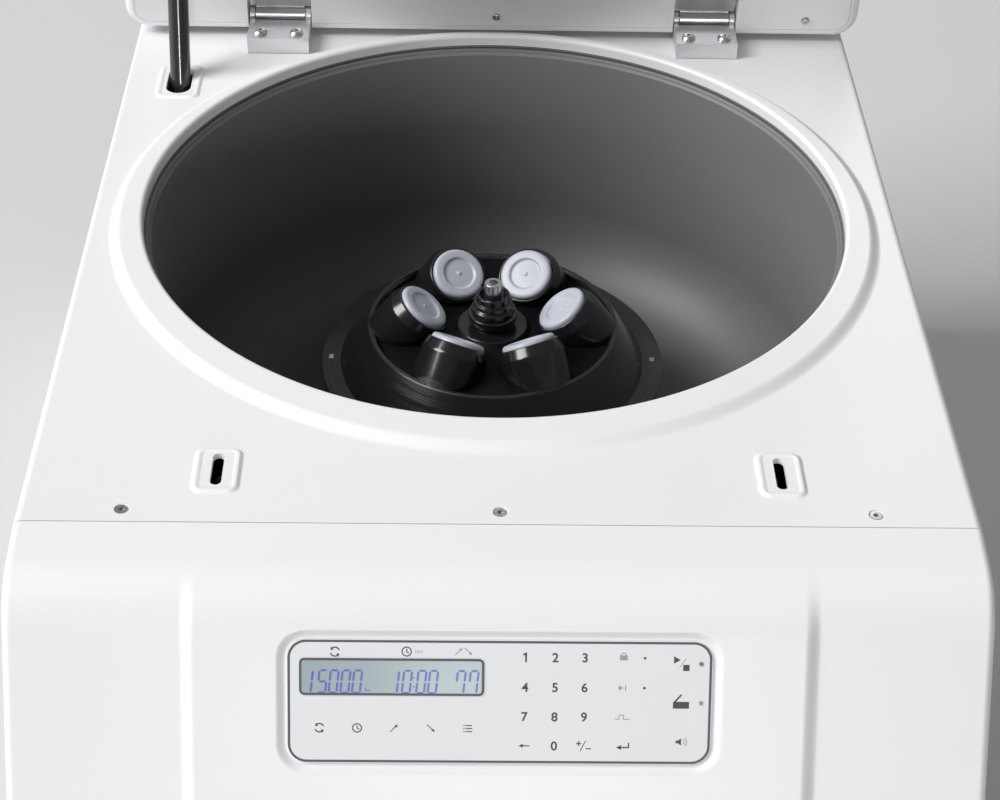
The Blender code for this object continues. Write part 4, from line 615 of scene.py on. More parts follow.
# %% [markdown]
# ## From a shape to a piece
#
# A piece is a mesh object that rides on one body of the CAD model, so it follows every joint. `solid`
# makes the bare object. `cut` and `join` hang exact Booleans on it, which is how holes and bosses are
# made without drawing every edge. `dress` applies them, softens the shading, gives the finish and says
# which CAD nodes the piece stands for.


# %% Solids and Booleans
def solid(name, shape):
    points, faces = shape
    mesh = bpy.data.meshes.new(name)
    mesh.from_pydata([tuple(p) for p in points], [], faces)
    shell = bmesh.new()
    shell.from_mesh(mesh)
    bmesh.ops.remove_doubles(shell, verts=shell.verts, dist=1e-7)
    bmesh.ops.recalc_face_normals(shell, faces=shell.faces)
    shell.to_mesh(mesh)
    shell.free()
    return placed(name, mesh)


def combine(target, shapes, operation):
    for shape in shapes:
        step = target.modifiers.new(operation, "BOOLEAN")
        step.operation = operation
        step.object = solid("helper", shape)
        step.solver = "EXACT"


def cut(target, *shapes):
    combine(target, shapes, "DIFFERENCE")


def join(target, *shapes):
    combine(target, shapes, "UNION")


# %% Applying, shading and riding
def settle(obj):
    """Applies the modifiers and removes the helpers that they used."""
    helpers = [m.object for m in obj.modifiers if m.type == "BOOLEAN"]
    graph = bpy.context.evaluated_depsgraph_get()
    mesh = bpy.data.meshes.new_from_object(obj.evaluated_get(graph))
    obj.modifiers.clear()
    obj.data = mesh
    for helper in helpers:
        bpy.data.objects.remove(helper)


def dress(obj, finish, body, *nodes, sharp=30, bevel=0, at=None):
    """Turns a solid into a finished piece that rides on a body and stands for the nodes."""
    if bevel:
        edge = obj.modifiers.new("edge", "BEVEL")
        edge.width = bevel
        edge.segments = 2
        edge.limit_method = "ANGLE"
        edge.angle_limit = math.radians(sharp)
        edge.use_clamp_overlap = True
    if obj.modifiers:
        settle(obj)
    if at is not None:
        obj.data.transform(at)
    obj.data.shade_smooth()
    obj.data.set_sharp_from_angle(angle=math.radians(sharp))
    flats = obj.modifiers.new("flats", "WEIGHTED_NORMAL")
    flats.keep_sharp = True
    flats.weight = 100
    obj.data.materials.clear()
    obj.data.materials.append(finishes[finish].material)
    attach(obj, body)
    if nodes:
        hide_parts(*nodes)


def piece(name, shape, finish, body, *nodes, **style):
    dress(solid(name, shape), finish, body, *nodes, **style)


# %% [markdown]
# ## Finer copies of plain nodes
#
# Flat sheet-metal nodes already have the right shape. They only lack the small radius that every folded
# or cast edge has. The CAD mesh itself is never changed, so `refined` copies it, welds the copy, dissolves
# the triangles on flat faces and bevels what is left.


# %% Copy, weld and bevel a node
FLAT_ANGLE = math.radians(0.4)


def refined(node, bevel):
    source = frame["nodes"][node]
    shell = bmesh.new()
    shell.from_mesh(source.data)
    bmesh.ops.remove_doubles(shell, verts=shell.verts, dist=1e-6)
    bmesh.ops.dissolve_limit(shell, angle_limit=FLAT_ANGLE, verts=shell.verts, edges=shell.edges)
    mesh = bpy.data.meshes.new(node + "_fine")
    shell.to_mesh(mesh)
    shell.free()
    copy = placed(node + "_fine", mesh)
    dress(copy, slot_of[node], body_of(source)[0], node, bevel=bevel)


for node, slot_name in slot_of.items():
    for slot in frame["nodes"][node].material_slots:
        slot.material = finishes[slot_name].material
print("every CAD node has its finish")

# %% [markdown]
# ## The deck
#
# The top of the machine is one folded and painted sheet. Round the bowl it rises in a low ring, which the
# lid's seal lands on, and three holes in it have raised rims: two for the lid's strikers, one for the gas
# spring. Each form is a solid with many more facets than the CAD's, and exact Booleans join or cut them,
# so that the real edges stay where they are. The ring's foot is a circle a little further forward than
# the circle of its flat top, so its slope is longer in front.

# %% Sizes of the housing
HALF_W = 0.270
SEAM_REACH, REAR_REACH, FRONT_REACH = 0.328, 0.330, 0.443
WALL, DECK_T, SKIRT, EDGE_R = 0.0025, 0.003, 0.018, 0.005
OPENING_R, LIP_DROP, LIP_T, LIP_ROUND = 0.2354, 0.0045, 0.003, 0.0030
RING_FOOT_R, RING_FOOT_SHIFT, RING_FLAT_R, RING_FLAT_SHIFT = 0.2570, 0.0110, 0.2490, 0.0085
BEZEL_R, BEZEL_RISE, BEZEL_RUN, BEZEL_TOP_W = 0.0075, 0.0014, 0.0030, 0.0006
DISH_DROP, DISH_RUN = 0.0005, 0.0022
GAP, OVERRUN, HAIR, NEARLY = 0.0003, 0.004, 0.00001, 0.999
FINE, FINEST = 144, 192


def about_bowl(profile, steps, closed=True, turn=0.0):
    """Spins a profile about the bowl's axis. turn keeps its facets off those of another form."""
    return moved(turned(profile, steps, closed), bowl_axis @ Matrix.Rotation(turn, 4, "Z"))


def deck_ring(inset, height):
    """The deck's outline, drawn in at the sides and the rear but not at the seam in front."""
    half = HALF_W - inset
    rear = REAR_REACH - inset
    corners = ((-half, -SEAM_REACH), (half, -SEAM_REACH), (half, rear), (-half, rear))
    return [at_bowl(x, y, height) for x, y in corners]


def ring_pad():
    """The raised ring: it climbs from its foot to its flat top in a soft S."""
    steps = [i / 12 for i in range(13)]
    levels = [(0, -DECK_T / 4)] + [(t, RING_RISE * smoothstep(t) + HAIR) for t in steps]
    rings = []
    for t, height in levels:
        radius = RING_FOOT_R + (RING_FLAT_R - RING_FOOT_R) * t
        shift = RING_FOOT_SHIFT + (RING_FLAT_SHIFT - RING_FOOT_SHIFT) * t
        rings.append([at_bowl(x, y, height) for x, y in circle(0, -shift, radius, FINE)])
    return loft(rings)


def bezel(width, length, x, y):
    """A low raised rim round a hole in the deck, pressed out of the sheet in a soft S."""
    levels = [(0, -DECK_T / 2)]
    levels += [(BEZEL_RUN * i / 10, BEZEL_RISE * smoothstep(i / 10) + HAIR) for i in range(11)]
    for i in range(7):
        inset = BEZEL_RUN + BEZEL_TOP_W + DISH_RUN * i / 6
        levels.append((inset, BEZEL_RISE - DISH_DROP * smoothstep(i / 6)))
    rings = []
    for inset, height in levels:
        outline = rounded(x, y, width / 2 - inset, length / 2 - inset, BEZEL_R - inset)
        rings.append([at_bowl(px, py, height) for px, py in outline])
    return loft(rings)


def slot_hole(width, length, x, y):
    """A hole with round ends, a hair short of half circles so that every edge has a length."""
    outline = rounded(x, y, width / 2, length / 2, width / 2 * NEARLY, 10)
    return moved(prism(outline, -DECK_T - OVERRUN, OVERRUN * 2), bowl_axis)


def opening_cutter():
    """Cuts the bowl's opening and rounds its upper edge."""
    profile = [(0, -LIP_DROP - OVERRUN), (OPENING_R, -LIP_DROP - OVERRUN)]
    profile += arc(OPENING_R + LIP_ROUND, RING_RISE - LIP_ROUND, LIP_ROUND, 180, 90, 12)
    profile += [(OPENING_R + LIP_ROUND, RING_RISE + OVERRUN), (0, RING_RISE + OVERRUN)]
    return about_bowl(profile, FINE, closed=False)


# %% Deck with its ring, rims, slots and screw holes
LATCH_X, LATCH_REACH = 0.161, 0.283
SPRING_X, SPRING_HOLE_Y = 0.230, 0.1655
LATCH_HOLE, SPRING_HOLE = (0.0066, 0.028), (0.018, 0.038)
LATCH_BEZEL, SPRING_BEZEL = (0.029, 0.042), (0.034, 0.050)
LATCH_BEZEL_REACH, SPRING_BEZEL_Y = 0.2835, 0.1645
SCREW_SPOTS = [(-0.211, -0.3175), (0, -0.3175), (0.211, -0.3175)]
HEAD_R, SHANK_R, HEAD_H, SUNK, SCREW_L = 0.0040, 0.0019, 0.0022, 0.0002, 0.012

levels = [(0, -SKIRT)] + arc(EDGE_R, -EDGE_R, EDGE_R, 180, 90, 8)
deck = solid("deck_sheet", loft([deck_ring(inset, height) for inset, height in levels]))
hollow_low = at_bowl(-HALF_W + WALL, -SEAM_REACH + WALL, -SKIRT - OVERRUN)
cut(deck, box(hollow_low, at_bowl(HALF_W - WALL, REAR_REACH - WALL, -DECK_T)))
join(deck, ring_pad())
lip = [(-LIP_T, -LIP_DROP), (LIP_T, -LIP_DROP), (LIP_T, -DECK_T / 2), (-LIP_T, -DECK_T / 2)]
lip = [(OPENING_R + reach, height) for reach, height in lip]
join(deck, about_bowl(lip, FINE, turn=math.tau / FINE / 3))
for side in SIDES.values():
    join(deck, bezel(*LATCH_BEZEL, side * LATCH_X, -LATCH_BEZEL_REACH))
join(deck, bezel(*SPRING_BEZEL, -SPRING_X, SPRING_BEZEL_Y))
cut(deck, opening_cutter())
for side in SIDES.values():
    cut(deck, slot_hole(*LATCH_HOLE, side * LATCH_X, -LATCH_REACH))
cut(deck, slot_hole(*SPRING_HOLE, -SPRING_X, SPRING_HOLE_Y))
for x, y in SCREW_SPOTS:
    hole = [
        (0, -DECK_T - OVERRUN),
        (SHANK_R + GAP, -DECK_T - OVERRUN),
        (SHANK_R + GAP, -SUNK - HEAD_H),
        (HEAD_R + GAP, -SUNK),
        (HEAD_R + GAP * 2, OVERRUN),
        (0, OVERRUN),
    ]
    cut(deck, shifted(turned(hole, 32), at_bowl(x, y, 0)))
dress(deck, "white_paint", "housing", "top_deck")
print("deck faces:", len(deck.data.polygons))

# %% [markdown]
# ## Screws
#
# Every screw here has a hexagon socket. Its head is turned from its side view, with soft corners, and the
# socket is a six-sided cutter with a conical floor, as a broach leaves it.

# %% Screws
SOCKET_CONE = 0.34


def screw(name, profile, place, socket, body, *nodes, turn=0.0, at=None):
    """A turned steel head. socket is (radius, floor, top) of its six-sided hole."""
    radius, floor, top = socket
    broach = [(0, floor - radius * SOCKET_CONE), (radius, floor), (radius, top), (0, top)]
    head = solid(name, turned(profile, 40))
    cut(head, turned(broach, 6))
    settle(head)
    head.data.transform(Matrix.Translation(place) @ Matrix.Rotation(turn, 4, "Z"))
    dress(head, "steel", body, *nodes, at=at)


countersunk = [
    ((0, -SCREW_L), 0),
    ((SHANK_R, -SCREW_L), 0.0004),
    ((SHANK_R, -SUNK - HEAD_H), 0.0002),
    ((HEAD_R, -SUNK), 0.00025),
    ((0, -SUNK), 0),
]
countersunk = eased(countersunk, 3)
deck_socket = (0.0018, -SUNK - 0.0013, OVERRUN)
for number, (x, y) in enumerate(SCREW_SPOTS, 1):
    node = f"deck_screw_{number}"
    screw(node + "_fine", countersunk, at_bowl(x, y, 0), deck_socket, "housing", node, turn=number)
print("deck screws:", len(SCREW_SPOTS))

# %% [markdown]
# ## The front
#
# The front is a moulding with a cross-section like a forehead and a nose: it rolls over from the seam,
# slopes down past the control panel, turns vertical and draws back to the base. Its middle stands proud
# by 3 mm, and the step between middle and sides makes the two upright lines that catch the light. The
# piece is lofted through cross-sections, close together where the shape turns quickly.

# %% Side view of the front
BROW_REACH, BROW_DROP = 0.352, 0.0032
FACE_REACH, FACE_DROP = 0.4075, 0.070
FACE_TOP_DROP, FACE_LOW_DROP = 0.029, 0.1175
NOSE_DROP, TUCK_DROP = 0.163, 0.262
BASE_REACH, BASE_DROP = 0.420, 0.3177
SLOPE = math.radians(27)
CENTRE_PROUD, CENTRE_HALF_W, CREASE_W = 0.003, 0.1655, 0.009


def face_reach(drop):
    """How far the sloping face is from the bowl's axis at a given drop below the deck."""
    return FACE_REACH + (drop - FACE_DROP) * math.tan(SLOPE)


def front_profile(steps=14):
    """The front's side view as (reach, drop) points from the seam down to the base."""
    rise = BROW_DROP / (BROW_REACH - SEAM_REACH)
    slope = math.tan(SLOPE)
    corner_drop = rise * (FACE_REACH - SEAM_REACH - FACE_DROP * slope) / (1 - rise * slope)
    corner = (face_reach(corner_drop), corner_drop)
    nose_reach = FRONT_REACH - CENTRE_PROUD
    chin_drop = FACE_DROP + (nose_reach - FACE_REACH) / slope
    waist = (NOSE_DROP + TUCK_DROP) / 2
    tuck_slope = (nose_reach - BASE_REACH) / (BASE_DROP - waist)
    tuck = (BASE_REACH + (BASE_DROP - TUCK_DROP) * tuck_slope, TUCK_DROP)
    points = [(SEAM_REACH + GAP * 2, 0)]
    face_top = (face_reach(FACE_TOP_DROP), FACE_TOP_DROP)
    face_low = (face_reach(FACE_LOW_DROP), FACE_LOW_DROP)
    points += bezier((BROW_REACH, BROW_DROP), corner, face_top, steps)
    points += bezier(face_low, (nose_reach, chin_drop), (nose_reach, NOSE_DROP), steps)
    points += bezier((nose_reach, NOSE_DROP), (nose_reach, waist), tuck, steps)[1:]
    return points + [(BASE_REACH, BASE_DROP)]


def front_section(proud, inset):
    """One cross-section: the side view moved out or in, less and less towards the seam."""
    points = front_profile()
    ring = []
    for i, (reach, drop) in enumerate(points):
        a, b = Vector(points[max(i - 1, 0)]), Vector(points[min(i + 1, len(points) - 1)])
        along = (b - a).normalized()
        fade = smoothstep((drop - BROW_DROP) / (FACE_TOP_DROP - BROW_DROP))
        out = proud * fade - inset
        ring.append((reach + along.y * out, drop - along.x * out))
    ring[0] = (points[0][0], inset)
    ring[-1] = (ring[-1][0], BASE_DROP)
    return ring


def front_solid(stations, proud, inset, back_reach, extra_drop):
    rings = []
    for x, rounding in stations:
        share = 1 - smoothstep((abs(x) - CENTRE_HALF_W) / CREASE_W)
        section = front_section(proud * share, rounding + inset)
        low = BASE_DROP + extra_drop
        ring = [(back_reach, section[0][1])] + section + [(section[-1][0], low), (back_reach, low)]
        rings.append([at_bowl(x, -reach, -drop) for reach, drop in ring])
    return loft(rings)


# %% Front moulding with the recess for the control foil
stations = arc(HALF_W - EDGE_R, EDGE_R, EDGE_R, -90, 0, 7)
stations += [(CENTRE_HALF_W + CREASE_W * i / 8, 0) for i in range(9)]
stations = sorted(stations)
stations = [(-x, inset) for x, inset in reversed(stations)] + stations

facing = Vector((0, -math.cos(SLOPE), math.sin(SLOPE)))
up_slope = Vector((0, math.sin(SLOPE), math.cos(SLOPE)))
FOIL_CENTRE_DROP = 0.062
foil_frame = Matrix((Vector((1, 0, 0)), up_slope, facing)).transposed().to_4x4()
foil_middle = at_bowl(0, -face_reach(FOIL_CENTRE_DROP), -FOIL_CENTRE_DROP)
foil_frame.translation = foil_middle + facing * CENTRE_PROUD
FOIL_W, FOIL_H, FOIL_CORNER_R = 0.231, 0.070, 0.0105
RECESS_DEPTH, RECESS_MARGIN, RECESS_SLOPE_W = 0.0020, 0.0006, 0.006


def foil_outline(margin, steps=12):
    half_w, half_h = FOIL_W / 2 + margin, FOIL_H / 2 + margin
    return rounded(0, 0, half_w, half_h, FOIL_CORNER_R + margin, steps)


front = solid("front_moulding", front_solid(stations, CENTRE_PROUD, 0, SEAM_REACH + GAP * 2, 0))
ends = [(side * (HALF_W - WALL), 0) for side in SIDES.values()]
cut(front, front_solid(ends, 0, WALL, SEAM_REACH - OVERRUN, OVERRUN))
rings = []
for i in range(9):
    t = i / 8
    outline = foil_outline(RECESS_MARGIN + RECESS_SLOPE_W * t)
    depth = -RECESS_DEPTH * (1 - smoothstep(t))
    rings.append([foil_frame @ Vector((x, y, depth)) for x, y in outline])
rings.append([foil_frame @ Vector((x, y, OVERRUN)) for x, y in outline])
cut(front, loft(rings))
dress(front, "white_moulding", "housing", "front_panel")
print("front faces:", len(front.data.polygons))

# %% [markdown]
# ## Control foil
#
# The keypad is a printed polyester foil in a shallow recess. The print is made of real shapes a few
# hundredths of a millimetre proud, drawn in millimetres on the foil's own plane: strokes for lines and
# rings, prisms for filled areas. The foil carries the signs that such a panel has, drawn as pictograms,
# and plain numbers. A ribbon of constant width, mitred at its corners, draws every line.


# %% Strokes and marks in millimetres
MITRE_LIMIT = 0.35


def ribbon(line, width, low, high, closed=False):
    """A solid line of constant width through flat points."""
    count = len(line)
    points, faces = [], []
    for i in range(count):
        here = Vector(line[i])
        before = here - Vector(line[i - 1]) if i or closed else Vector(line[1]) - here
        after = Vector(line[(i + 1) % count]) - here if i < count - 1 or closed else before
        a, b = before.normalized(), after.normalized()
        along = (a + b).normalized()
        across = Vector((-along.y, along.x)) * (width / 2 / max(along.dot(a), MITRE_LIMIT))
        for x, y in (here + across, here - across):
            points += [(x, y, low), (x, y, high)]
    for i in range(count if closed else count - 1):
        p, q = i * 4, (i + 1) % count * 4
        faces += [(p, q, q + 1, p + 1), (p + 2, p + 3, q + 3, q + 2)]
        faces += [(p + 1, q + 1, q + 3, p + 3), (p, p + 2, q + 2, q)]
    if not closed:
        last = (count - 1) * 4
        faces += [(0, 1, 3, 2), (last, last + 2, last + 3, last + 1)]
    return points, faces


def merged(shapes):
    points, faces = [], []
    for shape_points, shape_faces in shapes:
        start = len(points)
        points += shape_points
        faces += [tuple(start + i for i in face) for face in shape_faces]
    return points, faces


def disc(x, y, radius, low, high, steps=24):
    return prism(circle(x, y, radius, steps), low, high)


FOIL_TOP, WINDOW_TOP = -0.93, -0.63
INK = 0.06
MM = 1000
to_foil = foil_frame @ Matrix.Scale(1 / MM, 4)


def printed(name, shapes, finish):
    """Print is a piece of its own, a little proud of what carries it."""
    piece(name, moved(merged(shapes), to_foil), finish, "housing")


def mark(points, width, closed=False):
    return ribbon(points, width, FOIL_TOP, FOIL_TOP + INK, closed)


def area(points):
    return prism(points, FOIL_TOP, FOIL_TOP + INK)


def spot(x, y, radius):
    return disc(x, y, radius, FOIL_TOP, FOIL_TOP + INK)


def marks_of(strokes):
    return [mark(line, width) for line, width in strokes]


# %% Foil and window, with softened edges
refined("control_foil", 0.0002)
refined("display_window", 0.0002)

# %% Lines round the foil and round the display
BORDER_IN, BORDER_W, FRAME_W, FRAME_PROUD = 1.0, 1.35, 1.25, 0.12
half_w, half_h = FOIL_W * MM / 2 - BORDER_IN, FOIL_H * MM / 2 - BORDER_IN
border = rounded(0, 0, half_w, half_h, FOIL_CORNER_R * MM - BORDER_IN, 12)
frame_line = rounded_rect(-108.3, -9.3, 4.2, 23.8, 2.2)
window_frame = ribbon(frame_line, FRAME_W, FOIL_TOP, WINDOW_TOP + FRAME_PROUD, True)
printed("foil_lines", [mark(border, BORDER_W, True), window_frame], "slate_ink")
print("foil lines drawn")

# %% Pictograms
ROWS = (25.46, 8.56, -8.14, -24.74)
COLUMNS = (13.6, 29.9, 46.0)
ARROW_L, ARROW_HALF_W = 1.9, 0.9


def round_arrows(x, y, radius):
    """Two arrows that chase each other round a circle."""
    shapes = []
    for start in (20, 200):
        head = [polar(x, y, radius, start + 138)]
        head += [polar(x, y, radius + out, start + 104) for out in (-1.15, 1.15)]
        shapes += [mark(arc(x, y, radius, start, start + 118), 0.75), area(head)]
    return shapes


def clock(x, y, radius):
    hands = [(x, y + radius * 0.62), (x, y), (x + radius * 0.45, y - radius * 0.35)]
    return [mark(arc(x, y, radius, 0, 350, 35), 0.65, True), mark(hands, 0.6)]


def ramp(x, y, half, sign):
    """A rising or a falling line with an arrowhead at its end."""
    along = Vector((1, sign)).normalized()
    across = Vector((-along.y, along.x))
    tip = Vector((x, y)) + along * half
    foot = tip - along * ARROW_L
    line = [Vector((x, y)) - along * half, foot]
    head = [tip, foot + across * ARROW_HALF_W, foot - across * ARROW_HALF_W]
    return [mark(line, 0.5), area(head)]


def list_sign(x, y):
    shapes = []
    for level in (y - 1.7, y, y + 1.7):
        shapes += [spot(x - 2.1, level, 0.38), mark([(x - 1.1, level), (x + 2.4, level)], 0.6)]
    return shapes


SIGN_STROKES = [
    ([(12.2, ROWS[3]), (16.6, ROWS[3])], 0.6),
    ([(42.0, -23.3), (44.8, -23.3)], 0.65),
    ([(43.4, -24.7), (43.4, -21.9)], 0.65),
    ([(44.2, -27.7), (47.2, -21.6)], 0.45),
    ([(47.4, -26.2), (50.2, -26.2)], 0.65),
    ([(66.2, -25.4), (70.7, -25.4), (70.7, -22.6)], 0.75),
    ([(95.2, 0.6), (98.9, 4.9)], 0.95),
]
SIGN_AREAS = [
    [(10.6, ROWS[3]), (12.9, ROWS[3] + 1.2), (12.9, ROWS[3] - 1.2)],
    [(63.9, -25.4), (66.6, -24.0), (66.6, -26.8)],
    [(94.3, 26.7), (94.3, 22.5), (98.0, 24.6)],
    [(99.4, 18.4), (102.9, 18.4), (102.9, 21.9), (99.4, 21.9)],
    [(94.4, -3.0), (103.2, -3.0), (103.2, 0.9), (94.4, 0.9)],
    [(96.4, -21.2), (97.8, -21.2), (99.4, -19.8), (99.4, -24.2), (97.8, -22.8), (96.4, -22.8)],
]
LABEL_Y = -15.1
signs = round_arrows(-89.5, 28.0, 2.5) + clock(-50.7, 28.3, 2.5)
signs += round_arrows(-98.0, LABEL_Y, 2.4) + clock(-77.5, LABEL_Y, 2.4)
signs += ramp(-57.4, LABEL_Y, 3.0, 1) + ramp(-37.3, LABEL_Y, 3.0, -1) + list_sign(-17.2, LABEL_Y)
signs += [spot(78.6, ROWS[0], 0.75), spot(78.6, ROWS[1], 0.75)]
signs += marks_of(SIGN_STROKES) + [area(points) for points in SIGN_AREAS]
printed("key_signs", signs, "key_ink")

FAINT_STROKES = [
    (arc(99.2, -22.0, 1.9, -48, 48, 8), 0.45),
    (arc(99.2, -22.0, 3.2, -48, 48, 8), 0.45),
    ([(97.4, 20.4), (101.0, 25.4)], 0.35),
    (arc(67.0, 27.0, 1.35, 0, 180, 10), 0.5),
    ([(68.4, 7.0), (68.4, 10.1)], 0.6),
    ([(63.0, -9.3), (65.2, -9.3), (65.2, -6.9), (67.6, -6.9), (67.6, -9.3), (70.8, -9.3)], 0.5),
]
FAINT_STROKES += [([(x, 27.6), (x, 29.0)], 0.45) for x in (-45.8, -44.7, -43.6, -42.5)]
FAINT_AREAS = [
    [(64.9, 24.2), (69.1, 24.2), (69.1, 27.0), (64.9, 27.0)],
    [(64.6, 7.1), (64.6, 10.0), (67.2, 8.55)],
]
faint = ramp(-22.5, 28.5, 2.9, 1) + ramp(-17.2, 28.5, 2.9, -1)
faint += marks_of(FAINT_STROKES) + [area(points) for points in FAINT_AREAS]
printed("small_signs", faint, "faint_ink")
print("signs:", len(signs) + len(faint))


# %% Numbers on the keys
BOLD = 0.022
KEY_H = 5.3


def numeral(text, height):
    """A plain number as a flat solid, centred on the origin, its height in any unit."""
    curve = bpy.data.curves.new("numeral", "FONT")
    curve.body = text
    curve.extrude = 0.02
    curve.offset = BOLD
    holder = placed("numeral", curve)
    graph = bpy.context.evaluated_depsgraph_get()
    graph.update()
    mesh = bpy.data.meshes.new_from_object(holder.evaluated_get(graph))
    points = [v.co.copy() for v in mesh.vertices]
    faces = [tuple(face.vertices) for face in mesh.polygons]
    bpy.data.objects.remove(holder)
    low = Vector((min(p.x for p in points), min(p.y for p in points), 0))
    high = Vector((max(p.x for p in points), max(p.y for p in points), 0))
    scale = height / (high.y - low.y)
    middle = (low + high) / 2
    return [tuple((p - middle) * scale) for p in points], faces


def on_foil(shape, x, y, top=FOIL_TOP):
    """Puts a flat solid on the foil with the thickness of ink."""
    points, faces = shape
    level = max(p[2] for p in points)
    return [(px + x, py + y, top + (INK if pz > level / 2 else 0)) for px, py, pz in points], faces


keys = {}
for number in range(1, 10):
    keys[str(number)] = (COLUMNS[(number - 1) % 3], ROWS[(number - 1) // 3])
keys["0"] = (COLUMNS[1], ROWS[3])
print("keys:", sorted(keys))
x, y = keys.pop("1")
numbers = [mark([(x - 1.2, y + 1.5), (x + 0.35, y + 2.2), (x + 0.35, y - 2.65)], 1.0)]
numbers += [on_foil(numeral(text, KEY_H), x, y) for text, (x, y) in keys.items()]
printed("key_numbers", numbers, "key_ink")

# %% Digits of the display
SEGMENTS = {"0": "abcdef", "1": "bc", "5": "acdfg", "7": "abcf"}
DIGIT_W, DIGIT_LOW, DIGIT_HIGH = 4.3, 4.95, 17.6
SLANT = math.tan(math.radians(6))
BAR_W, BAR_GAP = 1.25, 0.22


def bar(start, end):
    """One segment: a bar with pointed ends."""
    a, b = Vector(start), Vector(end)
    along = (b - a).normalized()
    a, b = a + along * BAR_GAP, b - along * BAR_GAP
    across = Vector((-along.y, along.x)) * (BAR_W / 2)
    nose = along * (BAR_W / 2)
    return [a, a + nose - across, b - nose - across, b, b - nose + across, a + nose + across]


def digit(text, centre):
    left, right = -DIGIT_W / 2, DIGIT_W / 2
    middle = (DIGIT_LOW + DIGIT_HIGH) / 2
    corners = {
        "a": ((left, DIGIT_HIGH), (right, DIGIT_HIGH)),
        "b": ((right, middle), (right, DIGIT_HIGH)),
        "c": ((right, DIGIT_LOW), (right, middle)),
        "d": ((left, DIGIT_LOW), (right, DIGIT_LOW)),
        "e": ((left, DIGIT_LOW), (left, middle)),
        "f": ((left, middle), (left, DIGIT_HIGH)),
        "g": ((left, middle), (right, middle)),
    }
    shapes = []
    for name in SEGMENTS[text]:
        outline = [(centre + x + (y - middle) * SLANT, y) for x, y in bar(*corners[name])]
        shapes.append(prism(outline, WINDOW_TOP, WINDOW_TOP + INK))
    return shapes


READOUT = {
    "15000": (-104.2, -96.3, -90.2, -83.8, -77.5),
    "1000": (-57.5, -50.5, -42.7, -36.4),
    "77": (-21.4, -14.4),
}
LAMP_R, LAMP_PROUD = 1.15, 0.35
lit = []
for text, centres in READOUT.items():
    for sign, centre in zip(text, centres):
        lit += digit(sign, centre)
for height in (8.6, 13.6):
    lit.append(disc(-46.7, height, 0.5, WINDOW_TOP, WINDOW_TOP + INK))
corner_sign = [(-72.9, 7.9), (-72.9, 6.3), (-70.5, 6.3)]
lit.append(ribbon(corner_sign, 0.6, WINDOW_TOP, WINDOW_TOP + INK))
printed("display_digits", lit, "digit_ink")
for name, x, y, ink in (("off", 109.2, 22.45, "lamp_dark"), ("on", 109.6, 0.2, "lamp_green")):
    printed(f"lamp_{name}", [disc(x, y, LAMP_R, FOIL_TOP, FOIL_TOP + LAMP_PROUD)], ink)
print("segments lit:", len(lit))

# %% [markdown]
# ## The bowl
#
# The bowl is deep-drawn: a straight wall, a wide radius into the floor, and a raised hub where the drive
# comes through. Its rim is rolled into a bead that the rubber seal lies on. Both are turned from a drawn
# profile, with the same sizes as the CAD's but with smooth arcs. Round shapes need most of their facets
# round the axis, because that is where a straight edge shows against the light deck. A thin cover gives
# the bead its own, paler metal.

# %% Bowl, its bead and its seal
BOWL_R, BOWL_DEPTH, BOWL_CORNER_R, BOWL_T = 0.231, 0.205, 0.062, 0.0018
HUB_R, HUB_RISE, HOLE_R = 0.050, 0.009, 0.0215
BEAD_R, BEAD_TOP_DROP, BEAD_SHARE, FLANGE_R = 0.0021, 0.0066, 1.6, 0.2415


def bowl_path(extra, top):
    """Half of the bowl's section from the rim to the hole in the hub, moved out by a thickness."""
    corner_r, corner_z = BOWL_R - BOWL_CORNER_R, -BOWL_DEPTH + BOWL_CORNER_R
    points = [(BOWL_R + extra, top)]
    points += arc(corner_r, corner_z, BOWL_CORNER_R + extra, 0, -90, 18)
    hub = [
        (points.pop(), 0),
        ((HUB_R + HUB_RISE, -BOWL_DEPTH - extra), 0.008),
        ((HUB_R, -BOWL_DEPTH + HUB_RISE - extra), 0.005),
        ((HOLE_R, -BOWL_DEPTH + HUB_RISE - extra), 0),
    ]
    return points + eased(hub, 6)


inner = bowl_path(0, -BEAD_TOP_DROP - BEAD_R * 2)
outer = bowl_path(BOWL_T, -BEAD_TOP_DROP - BEAD_R * 2)
bead_r, bead_z = BOWL_R + BEAD_R * BEAD_SHARE, -BEAD_TOP_DROP - BEAD_R
bead = arc(bead_r, bead_z, BEAD_R, 180, 0, 12)
rim_top = bead_z - BEAD_R / 2
rim = [(FLANGE_R, rim_top), (FLANGE_R, rim_top - BOWL_T), (BOWL_R + BOWL_T, rim_top - BOWL_T)]
profile = inner[::-1] + bead + rim + outer[1:]
piece("bowl_pot", about_bowl(profile, FINEST), "bowl_coating", "housing", "bowl")

COVER_SHARE = 1.03
cover = arc(bead_r, bead_z, BEAD_R * COVER_SHARE, 180, 0, 12)
cover.append((bead_r, bead_z - BEAD_R / 4))
piece("bowl_bead", about_bowl(cover, FINEST), "bead_metal", "housing")

SEAL_R, SEAL_H = 0.2346, 0.0015
seal_far, seal_top = OPENING_R + LIP_T, -LIP_DROP - GAP
seal_low = seal_top - SEAL_H
seal = [(SEAL_R, seal_low), (seal_far, seal_low), (seal_far, seal_top), (SEAL_R, seal_top)]
seal = softened(seal, 0.0005, closed=True)
piece("bowl_seal", about_bowl(seal, FINEST), "seal_rubber", "housing", "bowl_gasket")

# %% [markdown]
# ## Insulation under the bowl
#
# Foam is poured round the pot, so its inside is the pot's outside. It can't be seen from above, but with
# the CAD's few facets it would cut through the smooth pot, so it gets the same arcs.

